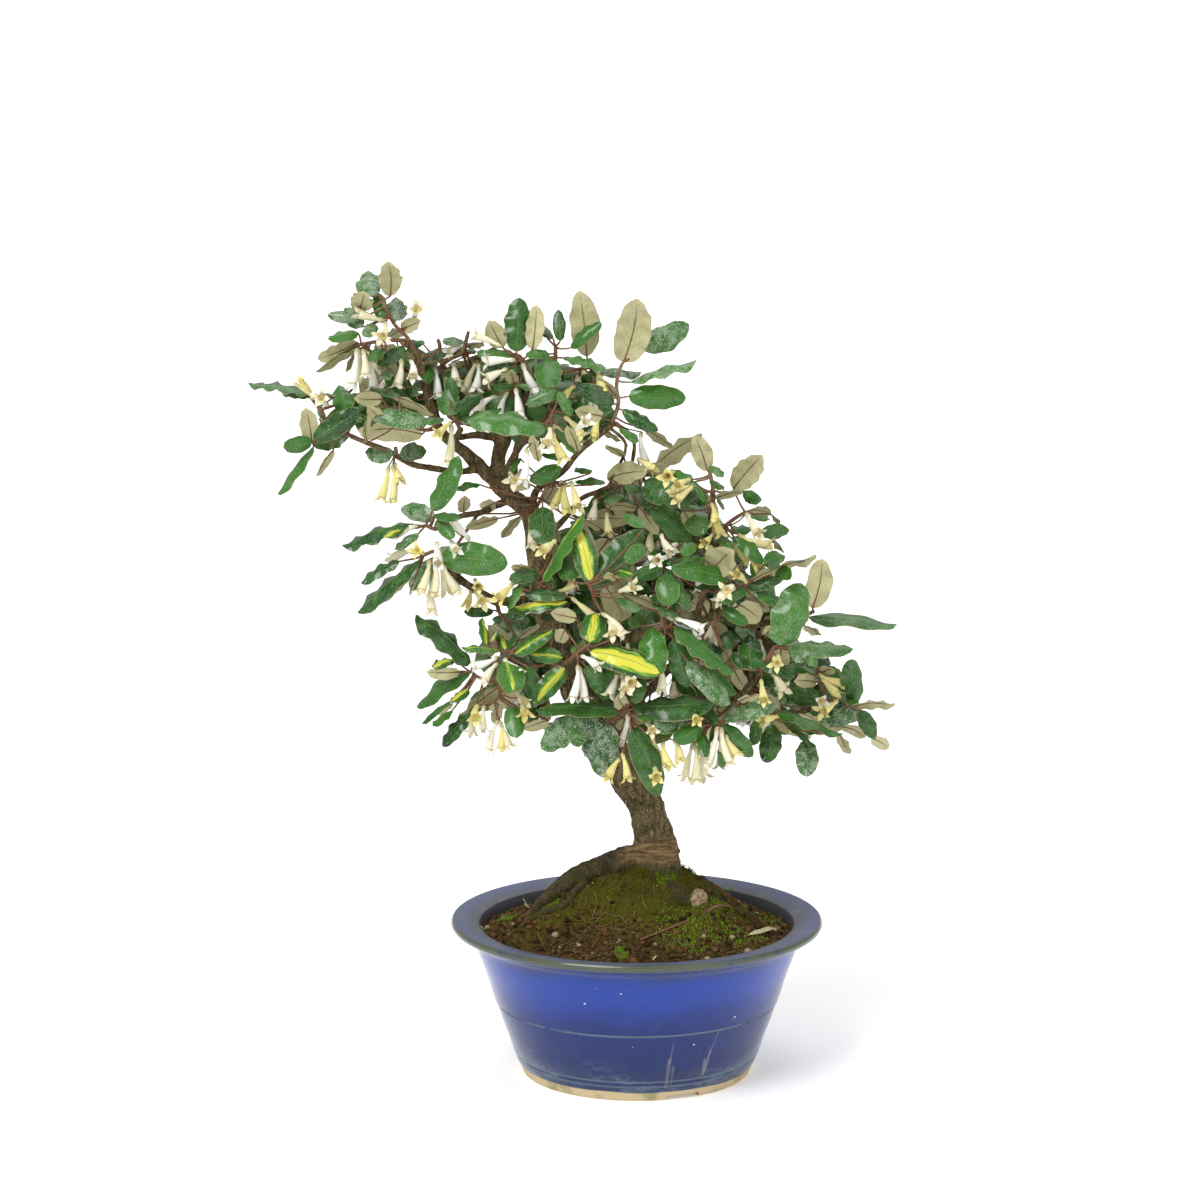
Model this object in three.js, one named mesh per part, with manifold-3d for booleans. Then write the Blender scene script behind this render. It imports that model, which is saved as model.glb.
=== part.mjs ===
// Thorny olive bonsai (Elaeagnus pungens) in a round blue-glazed pot, in millimetres, +Z up.
// The origin lies on the floor, under the middle of the whole object's outline.
import * as THREE from "three";
import { mergeVertices } from "three/addons/utils/BufferGeometryUtils.js";
import Module from "manifold-3d";

const wasm = await Module();
wasm.setup();

// Driving dimensions of the pot
const rimRadius = 100;
const potHeight = 84;
const footRadius = 61;
const footHeight = 4;
const drainRadius = 9;
const notchWidth = 19;
const notchHeight = 2.6;
const notchAngles = [-67, 53, 173];
const potSegments = 24;
const potAxis = new THREE.Vector3(34, 0, 0);

// Driving dimensions of the soil
const soilRadius = 82.6;
const soilEdgeHeight = 76;
const moundRise = 33;
const trunkFoot = new THREE.Vector2(8.5, 12);

// Driving dimensions of the plant
const gap = 0.3;
const fineGrid = 0.004;
const thinnestFace = 0.004;
const bladeThickness = 1.2;
const stalkWidth = 1.6;
const leastLeafSize = 26;
const twigRadius = 1.3;
const tubeRadius = 1.5;
const mouthRadius = 2.3;
const lobeReach = 5.2;
const tubeLength = 10;

// Leaf finishes: plain green, silver-scurfed green, or green with a gold middle
const plain = 0;
const scurfy = 1;
const gold = 2;

// Flower tones
const white = 0;
const cream = 1;
const yellow = 2;

// Places in the plant are read from the front: x and z on the upright plane through the pot's axis, as the
// viewer sees them, and y as the depth along the line of sight. Negative depths are nearer to the viewer.
const viewer = new THREE.Vector3(-19.7, -1933.6, 592.9);

function seenAt(x, z, depth) {
  const share = (depth - viewer.y) / -viewer.y;
  return new THREE.Vector3(x, 0, z).sub(viewer).multiplyScalar(share).add(viewer);
}

// A repeatable random source
function seeded(seed) {
  let state = seed;
  return () => {
    state = (state + 0x6d2b79f5) >>> 0;
    let t = Math.imul(state ^ (state >>> 15), state | 1);
    t ^= t + Math.imul(t ^ (t >>> 7), t | 61);
    return ((t ^ (t >>> 14)) >>> 0) / 4294967296;
  };
}

// Solids: a closed geometry with merged vertices, turned face out where its profile runs the other way
function solidFrom(geometry) {
  const bare = new THREE.BufferGeometry();
  bare.setAttribute("position", geometry.getAttribute("position"));
  if (geometry.index) {
    bare.setIndex(geometry.index);
  }
  const merged = mergeVertices(bare, 1e-3);
  const triVerts = new Uint32Array(merged.index.array);
  const vertProperties = merged.attributes.position.array;
  let volume = 0;
  const corner = (i) => new THREE.Vector3().fromArray(vertProperties, 3 * triVerts[i]);
  for (let i = 0; i < triVerts.length; i += 3) {
    volume += corner(i).dot(corner(i + 1).cross(corner(i + 2)));
  }
  if (volume < 0) {
    triVerts.reverse();
  }
  return new wasm.Manifold(new wasm.Mesh({ numProp: 3, vertProperties, triVerts }));
}

function geometryOf(solid) {
  const mesh = solid.getMesh();
  const geometry = new THREE.BufferGeometry();
  geometry.setAttribute("position", new THREE.BufferAttribute(mesh.vertProperties, 3));
  geometry.setIndex(new THREE.BufferAttribute(mesh.triVerts, 1));
  geometry.computeVertexNormals();
  return geometry;
}

function joined(solids) {
  return solids.reduce((all, solid) => all.add(solid));
}

function largestBody(solid) {
  return solid.decompose().reduce((most, body) => (body.volume() > most.volume() ? body : most));
}

// One closed body: its corners drawn to a fine grid so that slivers vanish, its sealed hollows filled
function settled(solid) {
  let body = largestBody(solid);
  for (let round = 0; round < 2; round += 1) {
    const geometry = geometryOf(body);
    const position = geometry.getAttribute("position");
    position.array.forEach((value, i) => {
      position.array[i] = Math.round(value / fineGrid) * fineGrid;
    });
    body = largestBody(solidFrom(geometry));
  }
  return body;
}

// The height of a solid's thinnest face once equal corners are merged, or 0 where an edge joins more than
// two faces
function thinnest(solid) {
  const geometry = mergeVertices(geometryOf(solid).deleteAttribute("normal"), 1e-3);
  const corners = geometry.index.array;
  const position = geometry.getAttribute("position");
  const point = (i) => new THREE.Vector3().fromBufferAttribute(position, corners[i]);
  const uses = new Map();
  let narrowest = Infinity;
  for (let i = 0; i < corners.length; i += 3) {
    const [a, b, c] = [point(i), point(i + 1), point(i + 2)];
    const longest = Math.max(a.distanceTo(b), b.distanceTo(c), c.distanceTo(a));
    narrowest = Math.min(narrowest, (2 * new THREE.Triangle(a, b, c).getArea()) / longest);
    for (const [from, to] of [[i, i + 1], [i + 1, i + 2], [i + 2, i]]) {
      const key = Math.min(corners[from], corners[to]) * 1e6 + Math.max(corners[from], corners[to]);
      uses.set(key, (uses.get(key) ?? 0) + 1);
    }
  }
  return [...uses.values()].every((count) => count === 2) ? narrowest : 0;
}

function facesGeometry(points, faces) {
  const geometry = new THREE.BufferGeometry();
  geometry.setFromPoints(points);
  geometry.setIndex(faces.flat());
  return geometry;
}

// Wood: a cylinder bent along a smooth curve, its radius running through the given ones.
// Each row of a path is [x, z, depth, radius].
function limbCurve(rows) {
  return new THREE.CatmullRomCurve3(rows.map(([x, z, depth]) => seenAt(x, z, depth)));
}

function ringCentres(rows, ringsPerSpan) {
  return limbCurve(rows).getSpacedPoints((rows.length - 1) * ringsPerSpan);
}

function bentLimb(rows, sides, ringsPerSpan, swell = 0) {
  const curve = limbCurve(rows);
  const spans = rows.length - 1;
  const rings = spans * ringsPerSpan;
  const geometry = new THREE.CylinderGeometry(1, 1, 1, sides, rings);
  const frames = curve.computeFrenetFrames(rings);
  const position = geometry.getAttribute("position");
  for (let i = 0; i < position.count; i += 1) {
    const ring = Math.round((position.getY(i) + 0.5) * rings);
    const share = ring / rings;
    const place = curve.getPointAt(share);
    const t = curve.getUtoTmapping(share) * spans;
    const span = Math.min(Math.floor(t), spans - 1);
    const radius = swell + THREE.MathUtils.lerp(rows[span][3], rows[span + 1][3], t - span);
    place.addScaledVector(frames.tangents[ring], (ring === 0 ? -swell : 0) + (ring === rings ? swell : 0));
    place.addScaledVector(frames.normals[ring], radius * position.getX(i));
    place.addScaledVector(frames.binormals[ring], radius * position.getZ(i));
    position.setXYZ(i, place.x, place.y, place.z);
  }
  return solidFrom(geometry);
}

// The trunk, its limbs and its roots, as rows of [x, z, depth, radius]
const trunkPath = [
  [12, 60, 8, 17], [10, 100, 8, 16], [9.5, 113, 8, 14.2], [9, 128, 7, 10.8], [6, 140, 5, 9.8],
  [2.5, 150, 3, 9.8], [-5, 161, 0, 9.5], [-17, 180, -4, 9], [-32, 208, -8, 8.5], [-44, 238, -6, 8],
  [-50, 262, -2, 7.2], [-52, 285, 2, 6.2], [-57, 304, 5, 5.5], [-66, 312, 7, 5], [-75, 321, 8, 4.6],
];
const limbPaths = [
  [[-73, 319, 8, 3.8], [-83, 328, 7, 3.7], [-91, 336, 6, 3.3], [-100, 343, 4, 3], [-106, 352, 2, 2.7],
    [-110, 365, 0, 2.4], [-113, 378, -2, 2.2], [-116, 389, -4, 1.9]],
  [[-74, 319, 8, 4.2], [-73, 333, 12, 4], [-70, 345, 14, 4.6]],
  [[-72, 343, 13, 2.1], [-84, 345, 14, 2], [-94, 344, 10, 1.8], [-93, 348, -8, 1.6]],
  [[-72, 319, 8, 2.4], [-66, 332, 4, 2.2], [-60, 342, -4, 2], [-53, 349, -20, 1.7], [-50, 350, -30, 1.5]],
  [[-57, 345, -12, 1.7], [-47, 356, -8, 1.6], [-45, 366, -4, 1.5], [-44, 375, 0, 1.4]],
  [[-60, 341, -4, 1.8], [-62, 355, 0, 1.6], [-58, 368, -6, 1.5], [-57, 378, -10, 1.4]],
  [[-83, 327, 7, 2], [-95, 325.5, 2, 1.9], [-105, 327, -2, 1.8], [-120, 330, -6, 1.7],
    [-130, 336, -8, 1.6], [-140, 340, -10, 1.6], [-151, 344.5, -12, 1.5]],
  [[-64, 311, 8, 2.2], [-74, 308, 2, 2.1], [-82, 304, -8, 2], [-93, 302, -22, 1.8], [-100, 298, -34, 1.6]],
  [[-49, 262, -2, 2.8], [-62, 256.5, -10, 2.6], [-75, 257, -18, 2.4], [-85, 262, -26, 2.2],
    [-95, 269, -32, 2.1], [-103, 278, -38, 2]],
  [[-56, 303, 5, 2.2], [-53, 316, -2, 2], [-46, 320.5, -6, 1.9], [-39, 326, -8, 1.8], [-30, 337, -8, 1.7],
    [-20, 345, -7, 1.6], [-12, 352, -6, 1.5]],
  [[-51, 288, 2, 2], [-38, 301, -2, 1.7], [-30, 311, -4, 1.6], [-21, 315, -6, 1.5], [-10, 319, -8, 1.4],
    [-6, 320.5, -8, 1.4]],
  [[-22, 314, -6, 1.4], [-16, 307, 0, 1.3], [-9, 299, 5, 1.2]],
  [[-38, 225, -7, 4], [-20, 235, -12, 3.8], [0, 238, -15, 3.4], [20, 242, -15, 3], [36, 246, -18, 2.6],
    [45, 253, -22, 2.2], [45, 261, -32, 1.9]],
  [[31, 245, -17, 2.2], [34, 257, -10, 2], [37, 266, -10, 1.9], [40, 280, -12, 1.8], [44, 292, -15, 1.7]],
  [[41, 284, -13, 1.7], [38, 296, -18, 1.6], [40, 305, -22, 1.5]],
  [[44, 249, -20, 2.2], [60, 243, -25, 2], [70, 245, -28, 1.9], [84, 246, -26, 1.7]],
  [[18, 241, -15, 2], [21, 240, -32, 1.8], [20, 239, -48, 1.6]],
  [[-20, 235, -12, 2.2], [-21, 246, -34, 1.9], [-22, 255, -50, 1.6]],
  [[-20, 188, -5, 3.5], [-5, 197, -20, 3.2], [15, 200, -25, 2.8], [35, 203, -25, 2.4], [52, 202, -30, 2.2],
    [60, 211, -38, 1.8], [66, 219.5, -44, 1.6]],
  [[50, 202, -29, 2.1], [70, 198, -30, 2], [80, 194, -28, 1.9], [89.5, 196.5, -22, 1.8], [98, 200, -16, 1.6]],
  [[24, 201, -26, 2], [31, 196, -36, 1.8], [36, 190, -45, 1.6]],
  [[-6, 196, -20, 2.2], [-4, 190, -36, 1.9], [-3, 188, -52, 1.6]],
  [[-38, 222, -8, 2.4], [-37, 223, -30, 2], [-37, 223, -52, 1.7]],
  [[-42, 232, -7, 2.4], [-53, 232, -24, 2], [-61, 233, -42, 1.7]],
  [[-49, 257, -3, 2.4], [-47, 260, -25, 2], [-46, 261, -43, 1.7]],
  [[-44, 240, -5, 2.6], [-40, 250, 22, 2.2], [-34, 252, 40, 1.8]],
  [[-4, 199, -18, 2.4], [14, 216, 8, 2.1], [22, 228, 32, 1.8]],
  [[20, 242, -14, 2.2], [14, 262, 8, 2], [12, 276, 26, 1.7]],
  [[50, 202, -28, 1.9], [58, 208, -4, 1.8], [60, 210, 14, 1.6]],
  [[-66, 312, 8, 2.2], [-64, 336, 30, 2], [-60, 352, 42, 1.7]],
  [[-104, 349, 3, 2], [-106, 358, 22, 1.8], [-106, 366, 34, 1.6]],
];
const rootPaths = [
  [[6, 112, 8, 8], [-3, 117, 5, 6.8], [-12, 113, 2, 6.5], [-24, 110, -2, 6], [-34, 105, -6, 5.5],
    [-44, 97, -10, 4.5], [-54, 88, -14, 3], [-60, 80, -16, 2]],
  [[-27, 103, -10, 2.4], [-33, 98, -20, 2.2], [-38, 91, -28, 2], [-48, 87, -36, 1.9], [-58, 82, -42, 1.7],
    [-63, 78, -46, 1.4]],
  [[14, 102, 2, 6], [18, 98, -12, 5.6], [26, 93, -22, 5.2], [34, 93.5, -30, 5]],
  [[17, 106, 6, 4], [24, 106, 4, 3], [31, 103, 2, 2.6], [39, 98, 0, 2.2], [48, 89, -2, 1.6]],
];

// The leafy shoots. A shoot starts inside its limb at "from" and runs on through the points of "twig",
// [x, z], at its own depth. A leaf is [base x, base z, tip x, tip z, width as seen, side shown, finish], a flower
// [base x, base z, mouth x, mouth z, tone]. The flowers of a bunch share one stalk foot on the shoot.
const up = 1;
const down = -1;
const shoots = [
  {
    name: "shoot_top_left_tip",
    depth: -5,
    from: [-115.5, 387, -4],
    twig: [[-121, 397], [-127, 403], [-131, 410], [-135, 419]],
    leaves: [
      [-129.4, 418.2, -130.3, 436.5, 12, down, plain], [-139, 418, -141, 431.5, 13.5, up, scurfy],
      [-146, 410.5, -143.2, 421, 12, down, plain], [-144.5, 407.5, -162.5, 408.3, 7, up, scurfy],
      [-144, 402, -153.5, 412, 9, up, scurfy], [-133.9, 406, -136.6, 420.8, 8, up, plain],
      [-126.5, 405.5, -126.5, 417.8, 12.5, up, scurfy], [-124, 401, -113.5, 405.5, 8, down, plain],
      [-123, 401, -131, 397, 6, down, plain],
    ],
    flowers: [[-117, 407, -115.5, 411.5, cream]],
    bunches: [
      { name: "bunch_top_left_tip", at: [-130, 408], flowers: [[-132.5, 405, -146, 409, cream],
        [-132, 404, -134, 397, cream]] },
    ],
  },
  {
    name: "shoot_top_left_knob",
    depth: -12,
    from: [-120, 395, -6],
    twig: [[-130, 395], [-139, 394], [-147, 392.5]],
    leaves: [
      [-146, 399, -162.3, 395.7, 6, up, plain], [-146.5, 394, -167.7, 385.2, 9, down, plain],
      [-137, 391, -140.5, 384, 6, up, plain], [-122, 391.5, -136.5, 382, 8, up, plain],
      [-148, 389, -152.5, 378.5, 3.5, down, plain],
    ],
    bunches: [
      { name: "bunch_top_left_knob", at: [-143, 393.2], flowers: [[-147, 391, -150, 372, white],
        [-144, 390.5, -142.7, 377, cream], [-141, 386, -138.5, 371, white], [-145, 391, -147, 376, cream]] },
    ],
    flowers: [[-124, 385.5, -126, 372, cream], [-119, 384.5, -118, 376.5, white]],
  },
  {
    name: "shoot_top_left_inner",
    depth: 8,
    from: [-112, 374, -1],
    twig: [[-106, 379], [-98.5, 385], [-90, 388.5]],
    leaves: [
      [-112, 393, -122.5, 393.5, 5, up, plain], [-92, 391.3, -122.5, 383.5, 5, up, plain],
      [-108, 383, -112, 373, 8, up, plain], [-124, 370, -133, 372.5, 6, up, plain],
      [-91.5, 395, -102, 393.5, 5, up, scurfy], [-90, 391.5, -81, 394.5, 4, down, plain],
    ],
    flowers: [[-106.5, 381, -105, 366.5, white]],
    bunches: [
      { name: "bunch_top_left_right", at: [-91, 388.2], flowers: [[-84, 384, -90, 370.5, cream],
        [-83.5, 383, -85, 370, white], [-97, 384, -95.5, 374, cream], [-90, 392.5, -99, 389, white]] },
    ],
  },
  {
    name: "shoot_top_middle",
    depth: -10,
    from: [-57.2, 376, -9],
    twig: [[-60, 384], [-63, 387]],
    leaves: [
      [-65, 385.5, -84.5, 389, 7, up, plain], [-70.5, 391, -78, 405.5, 11, down, plain],
      [-63.5, 389, -62, 417.5, 15, up, plain], [-55, 390, -53, 413.5, 10, down, plain],
      [-61.5, 380, -78.5, 379.5, 5, up, plain], [-64, 371, -66, 380, 7, down, plain],
      [-65, 371.5, -75.5, 371.5, 4, up, plain],
    ],
    bunches: [
      { name: "bunch_top_middle", at: [-60.5, 384.5], flowers: [[-71, 391.5, -85, 397.5, cream],
        [-60.5, 383, -54.5, 370, white], [-64, 384.5, -79, 384, white], [-68, 380, -79, 375, cream]] },
      { name: "bunch_top_middle_low", at: [-58.6, 380], flowers: [[-64, 370, -62, 356.5, white],
        [-68, 368, -72.5, 354, white], [-73, 366, -85, 358, white]] },
    ],
  },
  {
    name: "shoot_top_centre",
    depth: 0,
    from: [-44, 373, -1],
    twig: [[-43, 386], [-43, 392]],
    side: [[-43.6, 377], [-30, 380], [-22, 381]],
    leaves: [
      [-40.5, 394.5, -41.5, 411.3, 7, up, plain], [-48, 386.5, -47, 369.7, 14.5, up, plain],
      [-46, 388, -58.5, 387, 5.5, up, plain], [-26.5, 386.5, -30.5, 421, 16, down, plain],
      [-35, 391, -19, 404.5, 7, up, plain], [-39, 386, -16, 380.5, 5, up, plain],
      [-27, 378.5, 2, 378.5, 4, up, scurfy],
    ],
    flowers: [[-33, 371, -38.5, 365, yellow], [-21, 380, -18.5, 369.5, yellow]],
  },
  {
    name: "shoot_top_right",
    depth: -5,
    from: [-13.5, 351, -6],
    twig: [[-10, 362], [-11, 370], [-10, 378], [-8, 383]],
    leaves: [
      [-7.3, 383.5, 0, 417, 19, down, plain], [1.5, 391.5, 27, 403.5, 14, up, scurfy],
      [-4, 373, 31, 385, 4, up, scurfy], [-4.7, 365.7, 25.5, 364.5, 13.3, up, plain],
      [-12, 361.5, -32, 370, 10, up, plain], [-9.5, 363.5, -21, 376, 5, down, plain],
      [-8, 358.5, 11, 347.5, 8, up, plain], [4, 348.5, 19, 338.5, 5.5, down, plain],
      [-9, 349, 0, 341, 5, up, plain],
    ],
    flowers: [[2, 347, 4.5, 331, white]],
  },
  {
    name: "shoot_left_tip",
    depth: -10,
    from: [-149, 343.8, -12],
    twig: [[-157, 347.5], [-163, 352], [-168, 360], [-172.5, 366]],
    side: [[-155, 346.5], [-163, 343], [-171, 341]],
    leaves: [
      [-172.5, 366.5, -204.5, 373, 4, up, plain], [-172.5, 365, -186.5, 367, 3.8, up, plain],
      [-153, 358, -157, 371.5, 12, up, plain], [-165, 352.5, -166, 360.5, 4, up, plain],
      [-148, 358, -141, 365, 4, up, plain], [-171.5, 341, -174.5, 359.5, 10, down, plain],
      [-171, 342, -186.5, 338.5, 9, up, plain], [-170.5, 342.5, -146, 358.5, 12, up, plain],
      [-171, 340.5, -151.5, 345, 12, up, plain], [-170.5, 339, -190, 313.5, 4.5, up, plain],
      [-160, 337.5, -170, 323, 3.5, down, plain],
    ],
    flowers: [[-170, 364, -176.5, 372, yellow], [-163, 361, -166.5, 365, cream]],
  },
  {
    name: "shoot_left_upper",
    depth: -22,
    from: [-104, 348.5, 3],
    twig: [[-108, 348, -10], [-114, 348], [-125, 352]],
    leaves: [
      [-134, 364, -149, 364.5, 8, down, plain], [-129, 366, -107, 355.7, 4.5, down, plain],
      [-125, 365.5, -141, 370, 4, up, plain], [-110.5, 352, -139, 356, 10.5, up, scurfy],
      [-113, 345.5, -147, 347.5, 11, down, plain], [-133, 352, -142, 361, 7, down, plain],
      [-142.5, 341, -142, 356, 4, down, plain], [-102, 354, -113, 352, 4, up, plain],
    ],
  },
  {
    name: "shoot_left_middle",
    depth: -9,
    from: [-127, 334, -7.5],
    twig: [[-127.4, 338.5]],
    leaves: [
      [-128.5, 335, -143.5, 336, 9.5, up, scurfy], [-125.5, 334.5, -111, 336.5, 10, up, scurfy],
    ],
    bunches: [
      { name: "bunch_left_middle", at: [-127, 336.5], flowers: [[-131, 329, -135, 311.5, yellow],
        [-129, 329.5, -129, 310.5, yellow], [-128, 330, -125.3, 321.5, yellow]] },
    ],
  },
  {
    name: "shoot_left_inner",
    depth: -20,
    from: [-93, 347.5, -7],
    twig: [[-96, 353], [-98, 355.5]],
    leaves: [
      [-98, 376, -96, 362.5, 7, up, plain], [-98.5, 355.5, -99, 370, 12, up, plain],
      [-97, 356, -81.5, 367, 8, up, plain], [-93, 352, -71.5, 359.5, 5, up, plain],
    ],
    bunches: [
      { name: "bunch_left_inner", at: [-95.5, 352.5], flowers: [[-98, 352, -104.5, 346, yellow],
        [-98, 351, -99.5, 331, cream]] },
    ],
  },
  {
    name: "shoot_centre_top",
    depth: -35,
    from: [-51, 349.8, -29],
    twig: [[-47, 352], [-44, 358]],
    leaves: [
      [-47.5, 348.5, -89.5, 353, 11.5, up, plain], [-41, 367.5, -59, 361, 7.5, up, plain],
      [-41, 368, -35, 355, 6, up, plain], [-18, 355, -33, 358, 9, down, plain],
      [-31, 336, -37, 350, 7, down, plain], [-33, 335, -43, 349, 4, up, plain],
      [-40, 332, -50, 335.5, 4, up, plain], [-52, 331, -55, 345, 6, down, plain],
    ],
    flowers: [[-58.5, 338, -60.5, 320.5, white]],
    bunches: [
      { name: "bunch_centre_top", at: [-46.4, 353], flowers: [[-38.5, 355, -29.5, 345, yellow],
        [-33, 347, -27, 352, white], [-45, 347, -39.5, 333, yellow], [-46, 349, -47.5, 341, cream]] },
    ],
  },
  {
    name: "shoot_left_low_upper",
    depth: -40,
    from: [-99, 298.4, -33],
    twig: [[-107, 295], [-112, 297]],
    leaves: [
      [-108.5, 304.5, -94, 334, 11.5, up, plain], [-120, 298, -156.5, 286.5, 6.5, up, plain],
      [-107, 301, -125, 306, 10, up, scurfy], [-107, 303, -93.5, 301, 5, up, plain],
      [-106, 300, -97, 290, 7.5, up, plain], [-124, 295, -134, 290.5, 4, up, gold],
      [-115.5, 293, -128.5, 284, 5, up, scurfy],
    ],
    flowers: [[-88.5, 289, -98, 299, white], [-116, 297, -128, 291.5, cream]],
  },
  {
    name: "shoot_left_low",
    depth: -40,
    from: [-102, 277, -37],
    twig: [[-107, 283], [-113, 281]],
    leaves: [
      [-126, 278, -146.5, 266, 6, up, plain], [-115.5, 278.5, -148.5, 250, 8, up, plain],
      [-104, 280, -68.5, 276.5, 18, up, plain],
    ],
    flowers: [[-118, 283, -129, 279.5, cream]],
    bunches: [
      { name: "bunch_left_low", at: [-107, 283], flowers: [[-110, 279, -114.5, 262, cream],
        [-107.5, 279, -108, 260.5, cream], [-105, 278, -101.5, 262, cream], [-103, 276, -95.5, 262, cream],
        [-108.5, 268, -109, 251.5, cream], [-106, 288, -105.5, 277.5, white]] },
    ],
  },
  {
    name: "shoot_trunk_upper",
    depth: -15,
    from: [-55, 304, 4],
    twig: [[-52, 309, -8], [-49, 315], [-47, 320]],
    leaves: [
      [-50, 307, -49, 286.5, 15, up, plain], [-62, 302, -71.5, 290, 5, down, plain],
      [-73, 301, -91, 296, 6, down, plain], [-40, 328, -57, 320.5, 9.5, up, plain],
      [-56, 319, -67, 317, 7, down, plain], [-44, 319, -49, 309, 8, down, plain],
      [-75, 309.5, -83, 306.5, 7, down, plain], [-83, 319, -96, 315.5, 4, up, plain],
      [-92, 304, -91, 313, 7, down, plain], [-24.5, 325, -32.5, 328, 4, up, plain],
      [-17, 319.5, -33, 320.5, 4, up, plain], [-17.5, 294, -31, 300.5, 4.5, down, plain],
    ],
    flowers: [[-55, 300, -55.5, 287, cream]],
    bunches: [
      { name: "bunch_centre", at: [-48.2, 317], flowers: [[-40, 321, -43.5, 308.5, yellow],
        [-38, 320, -37.5, 306, yellow], [-35, 320.5, -31.5, 307, yellow]] },
    ],
  },
  {
    name: "shoot_centre_low",
    depth: -48,
    from: [-46, 260.9, -41.5],
    twig: [[-52, 266], [-56, 268]],
    leaves: [
      [-50.5, 267, -28.5, 304, 5, up, gold], [-52, 271, -68, 268, 8, up, plain],
      [-53, 267, -66.5, 270, 6, up, plain], [-62, 266, -68.5, 252, 5, up, plain],
      [-57, 273, -66, 276, 5, down, plain], [-37, 259.5, -59.5, 260, 7, up, plain],
      [-37, 256, -65, 253.5, 6, up, gold],
    ],
    flowers: [[-43, 289, -49.5, 284, yellow], [-66, 265.5, -73, 258.5, yellow]],
    bunches: [
      { name: "bunch_centre_low", at: [-49.5, 263.5], flowers: [[-38, 263.5, -33, 266, yellow],
        [-35, 258.5, -23, 248, yellow]] },
    ],
  },
  {
    name: "shoot_centre_right",
    depth: -60,
    from: [-22, 254.5, -48.5],
    twig: [[-24, 262], [-26, 266]],
    leaves: [
      [-36.5, 267.5, -37.5, 287, 14, up, plain], [-24.5, 267, -31.5, 296, 13, up, gold],
      [-23, 267, 3.5, 294.5, 17, up, plain], [-10, 273, -2, 271, 5, up, gold],
      [-17, 265, -6, 246.5, 14, down, plain], [-11, 258, 1, 251, 6, up, plain],
      [4, 296, -7, 303, 6, up, plain], [5, 286, -6, 277, 8, up, plain],
    ],
    flowers: [[-19, 250, -8, 239, cream]],
  },
  {
    name: "shoot_left_middle_low",
    depth: -25,
    from: [-74.5, 257, -17.5],
    twig: [[-73, 250], [-70, 246]],
    leaves: [
      [-76, 251.5, -92, 250.5, 6, up, plain], [-57, 245.5, -77, 246.5, 8, up, plain],
      [-63.5, 236.5, -52.5, 244.5, 4, down, plain],
    ],
    flowers: [[-86, 262, -82, 256, yellow], [-86, 268, -84, 264, yellow]],
  },
  {
    name: "shoot_left_bottom",
    depth: -44,
    from: [-60, 232.9, -40],
    twig: [[-67, 230], [-72, 229]],
    side: [[-66, 230.4], [-71, 221], [-76, 213], [-84, 215], [-88, 218]],
    sideTwo: [[-74.6, 215.6], [-73, 206], [-76, 202]],
    leaves: [
      [-80, 232.5, -82, 247.5, 5, up, gold], [-73, 229.5, -93.5, 231.5, 4, up, gold],
      [-70, 230, -73, 238.5, 6, up, gold], [-68.5, 230, -66.5, 239, 4, up, plain],
      [-70, 225, -65.5, 207.5, 15, up, gold], [-58, 221, -53, 201, 8.5, up, plain],
      [-65, 227.5, -45, 241, 8, up, gold], [-39.5, 226, -57, 227.5, 9, up, gold],
      [-38.5, 220.5, -55, 201, 11, up, gold], [-88, 222, -117.5, 249, 10, up, plain],
      [-97, 225, -109, 220.5, 5, up, gold], [-94, 218, -112, 218, 7, down, plain],
      [-88.5, 218, -117.5, 199, 8, up, plain], [-90, 209, -99, 202, 5, up, gold],
      [-98.5, 197.5, -109, 188.5, 4, up, plain], [-72.5, 211, -96.5, 190, 7, down, plain],
      [-88.5, 196, -104, 177.5, 7.5, up, plain], [-74, 200.5, -75.5, 190.5, 6, down, plain],
      [-67.5, 199.5, -64, 182, 11, up, plain], [-47, 192, -61, 187, 6, down, plain],
    ],
    flowers: [[-61, 204, -59.5, 195.5, yellow], [-74, 192, -79, 176, cream], [-73, 191.5, -72.5, 177, yellow],
      [-73, 190, -68.5, 178, cream]],
    bunches: [
      { name: "bunch_left_bottom_upper", at: [-69, 226], flowers: [[-74, 226.5, -86, 221.5, white],
        [-74, 223, -81, 214, cream], [-70.5, 225, -64, 219, white]] },
      { name: "bunch_left_bottom", at: [-82, 214.5], flowers: [[-86, 199.5, -88, 186, cream],
        [-81.5, 200, -82, 187, cream]] },
    ],
  },
  {
    name: "shoot_trunk_front",
    depth: -68,
    from: [-37, 223, -50],
    twig: [[-32, 228], [-27, 232]],
    leaves: [
      [-25, 229, 12, 217.5, 14, up, gold], [-27, 221, -15.5, 203, 9, up, plain],
      [-25, 234, -22, 250, 14, up, gold], [-35, 229, -17, 240, 5, up, plain],
      [-13, 236, -23, 237, 6, up, plain], [-38, 241, -41, 234, 8, down, plain],
      [-32, 247, -46, 250, 8, down, plain],
    ],
    bunches: [
      { name: "bunch_trunk_front", at: [-32, 228], flowers: [[-31.5, 222, -34, 204.5, white],
        [-31, 221.5, -28, 204.5, white], [-30, 227, -21.5, 221.5, white]] },
    ],
  },
  {
    name: "shoot_bottom_middle",
    depth: -62,
    from: [-3, 188.1, -50],
    twig: [[-4, 195], [-6, 199]],
    leaves: [
      [-9.5, 196, -54, 197.5, 9, up, plain], [-28, 193.5, -51, 176, 15, up, scurfy],
      [-24, 195, -16, 160, 19, up, scurfy], [-26, 186, -34, 178, 7, up, scurfy],
      [-3, 187, 12.5, 150.5, 15, up, plain], [-2, 198.5, 41, 201.5, 13, up, plain],
      [3, 215, -1, 201, 7, up, plain], [-6, 198, -10, 206, 8, down, plain],
    ],
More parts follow.
